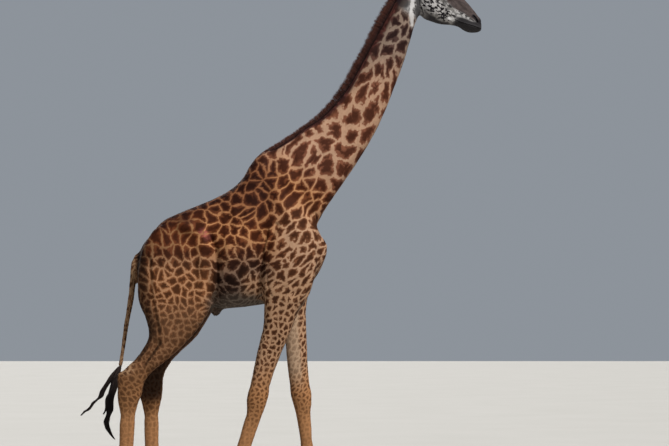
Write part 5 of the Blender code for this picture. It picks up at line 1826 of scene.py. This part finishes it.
def add_claw(node, finish):
    """One half of a cloven hoof: a steep wall with growth rings, flat on the floor."""
    low, high = BOX[node]
    length, width, height = high - low
    side = np.sign(low[1] + high[1])
    outward = -side if "inner" in node else side
    middle = (low[0] + high[0]) / 2
    cleft = high[1] if outward < 0 else low[1]
    bpy.ops.mesh.primitive_circle_add(vertices=CLAW_SIDES, radius=1.0, fill_type="NGON")
    claw = bpy.context.object
    for vertex, (x, y) in zip(claw.data.vertices, claw_outline()):
        vertex.co = (middle + x * length, cleft + y * width * outward, 0)
    bpy.ops.object.mode_set(mode="EDIT")
    bpy.ops.mesh.select_all(action="SELECT")
    seat = Vector((middle, cleft, 0))
    before = (1.0, 1.0, 0.0, 0.0)
    for k, (up, long, wide, back) in enumerate(CLAW_LEVELS):
        top = height * up + CLAW_LIFT
        if k:
            bpy.ops.mesh.extrude_region_move(TRANSFORM_OT_translate={"value": (0, 0, top - before[3])})
        else:
            bpy.ops.transform.translate(value=(0, 0, top))
        share = (long / before[0], wide / before[1], 1)
        bpy.ops.transform.resize(value=share, center_override=seat + Vector((before[2] * length, 0, 0)))
        bpy.ops.transform.translate(value=((back - before[2]) * length, 0, 0))
        before = (long, wide, back, top)
    bpy.ops.mesh.inset(thickness=0.012)
    bpy.ops.mesh.select_all(action="SELECT")
    bpy.ops.mesh.normals_make_consistent(inside=False)
    finish_piece(claw, node.replace("hoof", "claw"))
    bevel = claw.modifiers.new("edge", "BEVEL")
    bevel.width = 0.0022
    bevel.segments = 2
    bevel.angle_limit = math.radians(50)
    apply_modifiers(claw)
    round_off(claw, 1)
    write_attribute(claw.data, "place", vertex_points(claw.data))
    dress(claw, finish, "hoof", node)


# ---------------------------------------------------------------- stage


CAMERA_ALONG = 0.632  # share of the model's length, from its rear
CAMERA_AWAY, CAMERA_HEIGHT = 22.0, 1.65
CAMERA_LIFT = math.radians(2.63)  # how far above level it looks
CAMERA_LENS = 119.6
SKY_COLOUR, SKY_STRENGTH = (0.70, 0.77, 0.86, 1), 0.38


def add_light(name, energy, angle, toward):
    """A light far off in a direction, soft by its angle in degrees."""
    light = bpy.data.lights.new(name, "SUN")
    light.energy = energy
    light.angle = math.radians(angle)
    new_object(name, light).rotation_euler = Vector(toward).to_track_quat("Z", "Y").to_euler()


def add_stage():
    """The floor, the camera and the light."""
    low, high = CAD_LOW, CAD_HIGH
    bpy.ops.mesh.primitive_plane_add(size=160, location=((low.x + high.x) / 2, 0, low.z))
    floor = bpy.context.object
    floor.name = "floor"
    floor.data.materials.append(floor_material())
    camera_data = bpy.data.cameras.new("camera")
    camera_data.lens = CAMERA_LENS
    camera_data.sensor_width = 36
    camera_data.clip_end = 300
    camera = new_object("camera", camera_data)
    camera.location = (low.x + (high.x - low.x) * CAMERA_ALONG, -CAMERA_AWAY, CAMERA_HEIGHT)
    camera.rotation_euler = (math.radians(90) + CAMERA_LIFT, 0, 0)
    bpy.context.scene.camera = camera
    add_light("key", 4.75, 9, (0.62, -0.78, 1.15))
    add_light("fill", 1.5, 40, (-0.25, 1.0, 0.25))
    world = bpy.data.worlds.new("studio")
    world.use_nodes = True
    background = world.node_tree.nodes["Background"]
    background.inputs["Color"].default_value = SKY_COLOUR
    background.inputs["Strength"].default_value = SKY_STRENGTH
    bpy.context.scene.world = world
    bpy.context.scene.view_settings.view_transform = "Standard"


# ---------------------------------------------------------------- the whole animal

bpy.ops.object.select_all(action="DESELECT")
skin = build_skin()
skin_points, skin_normals = vertex_points(skin.data), vertex_normals(skin.data)
girth = Girth(skin_points, skin_normals)
write_paint(skin.data, girth, skin_points, skin_normals)
dress(skin, hide_material(), "hide", *FLESH)
add_coat(skin, girth)
add_mane(skin)
add_tassel()

eye_finish, ear_finish = eye_material(), ear_material()
horn_finish, hoof_finish = horn_material(), hoof_material()
# Each kind of hair: its colours at the root, halfway and at the tip
LASHES = (0.010, 0.008, 0.008), (0.010, 0.008, 0.008), (0.012, 0.010, 0.010)
EAR_HAIR = (0.40, 0.34, 0.28), (0.55, 0.50, 0.44), (0.60, 0.56, 0.50)
HORN_HAIR = (0.13, 0.070, 0.045), (0.020, 0.014, 0.012), (0.016, 0.012, 0.011)
lash_finish = long_hair_material("lashes", *LASHES, 0.5)
ear_hair = long_hair_material("ear hair", *EAR_HAIR, 0.7)
horn_hair = long_hair_material("horn hair", *HORN_HAIR, 0.6)
for side in (RIGHT, LEFT):
    add_eye(side, eye_finish)
    add_lashes(side, lash_finish)
    add_ear(side, ear_finish)
    add_ear_hair(side, ear_hair)
    add_horn_hair(side, add_horn(side, horn_finish), horn_hair)
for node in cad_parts:
    if "hoof" in node:
        add_claw(node, hoof_finish)
add_stage()
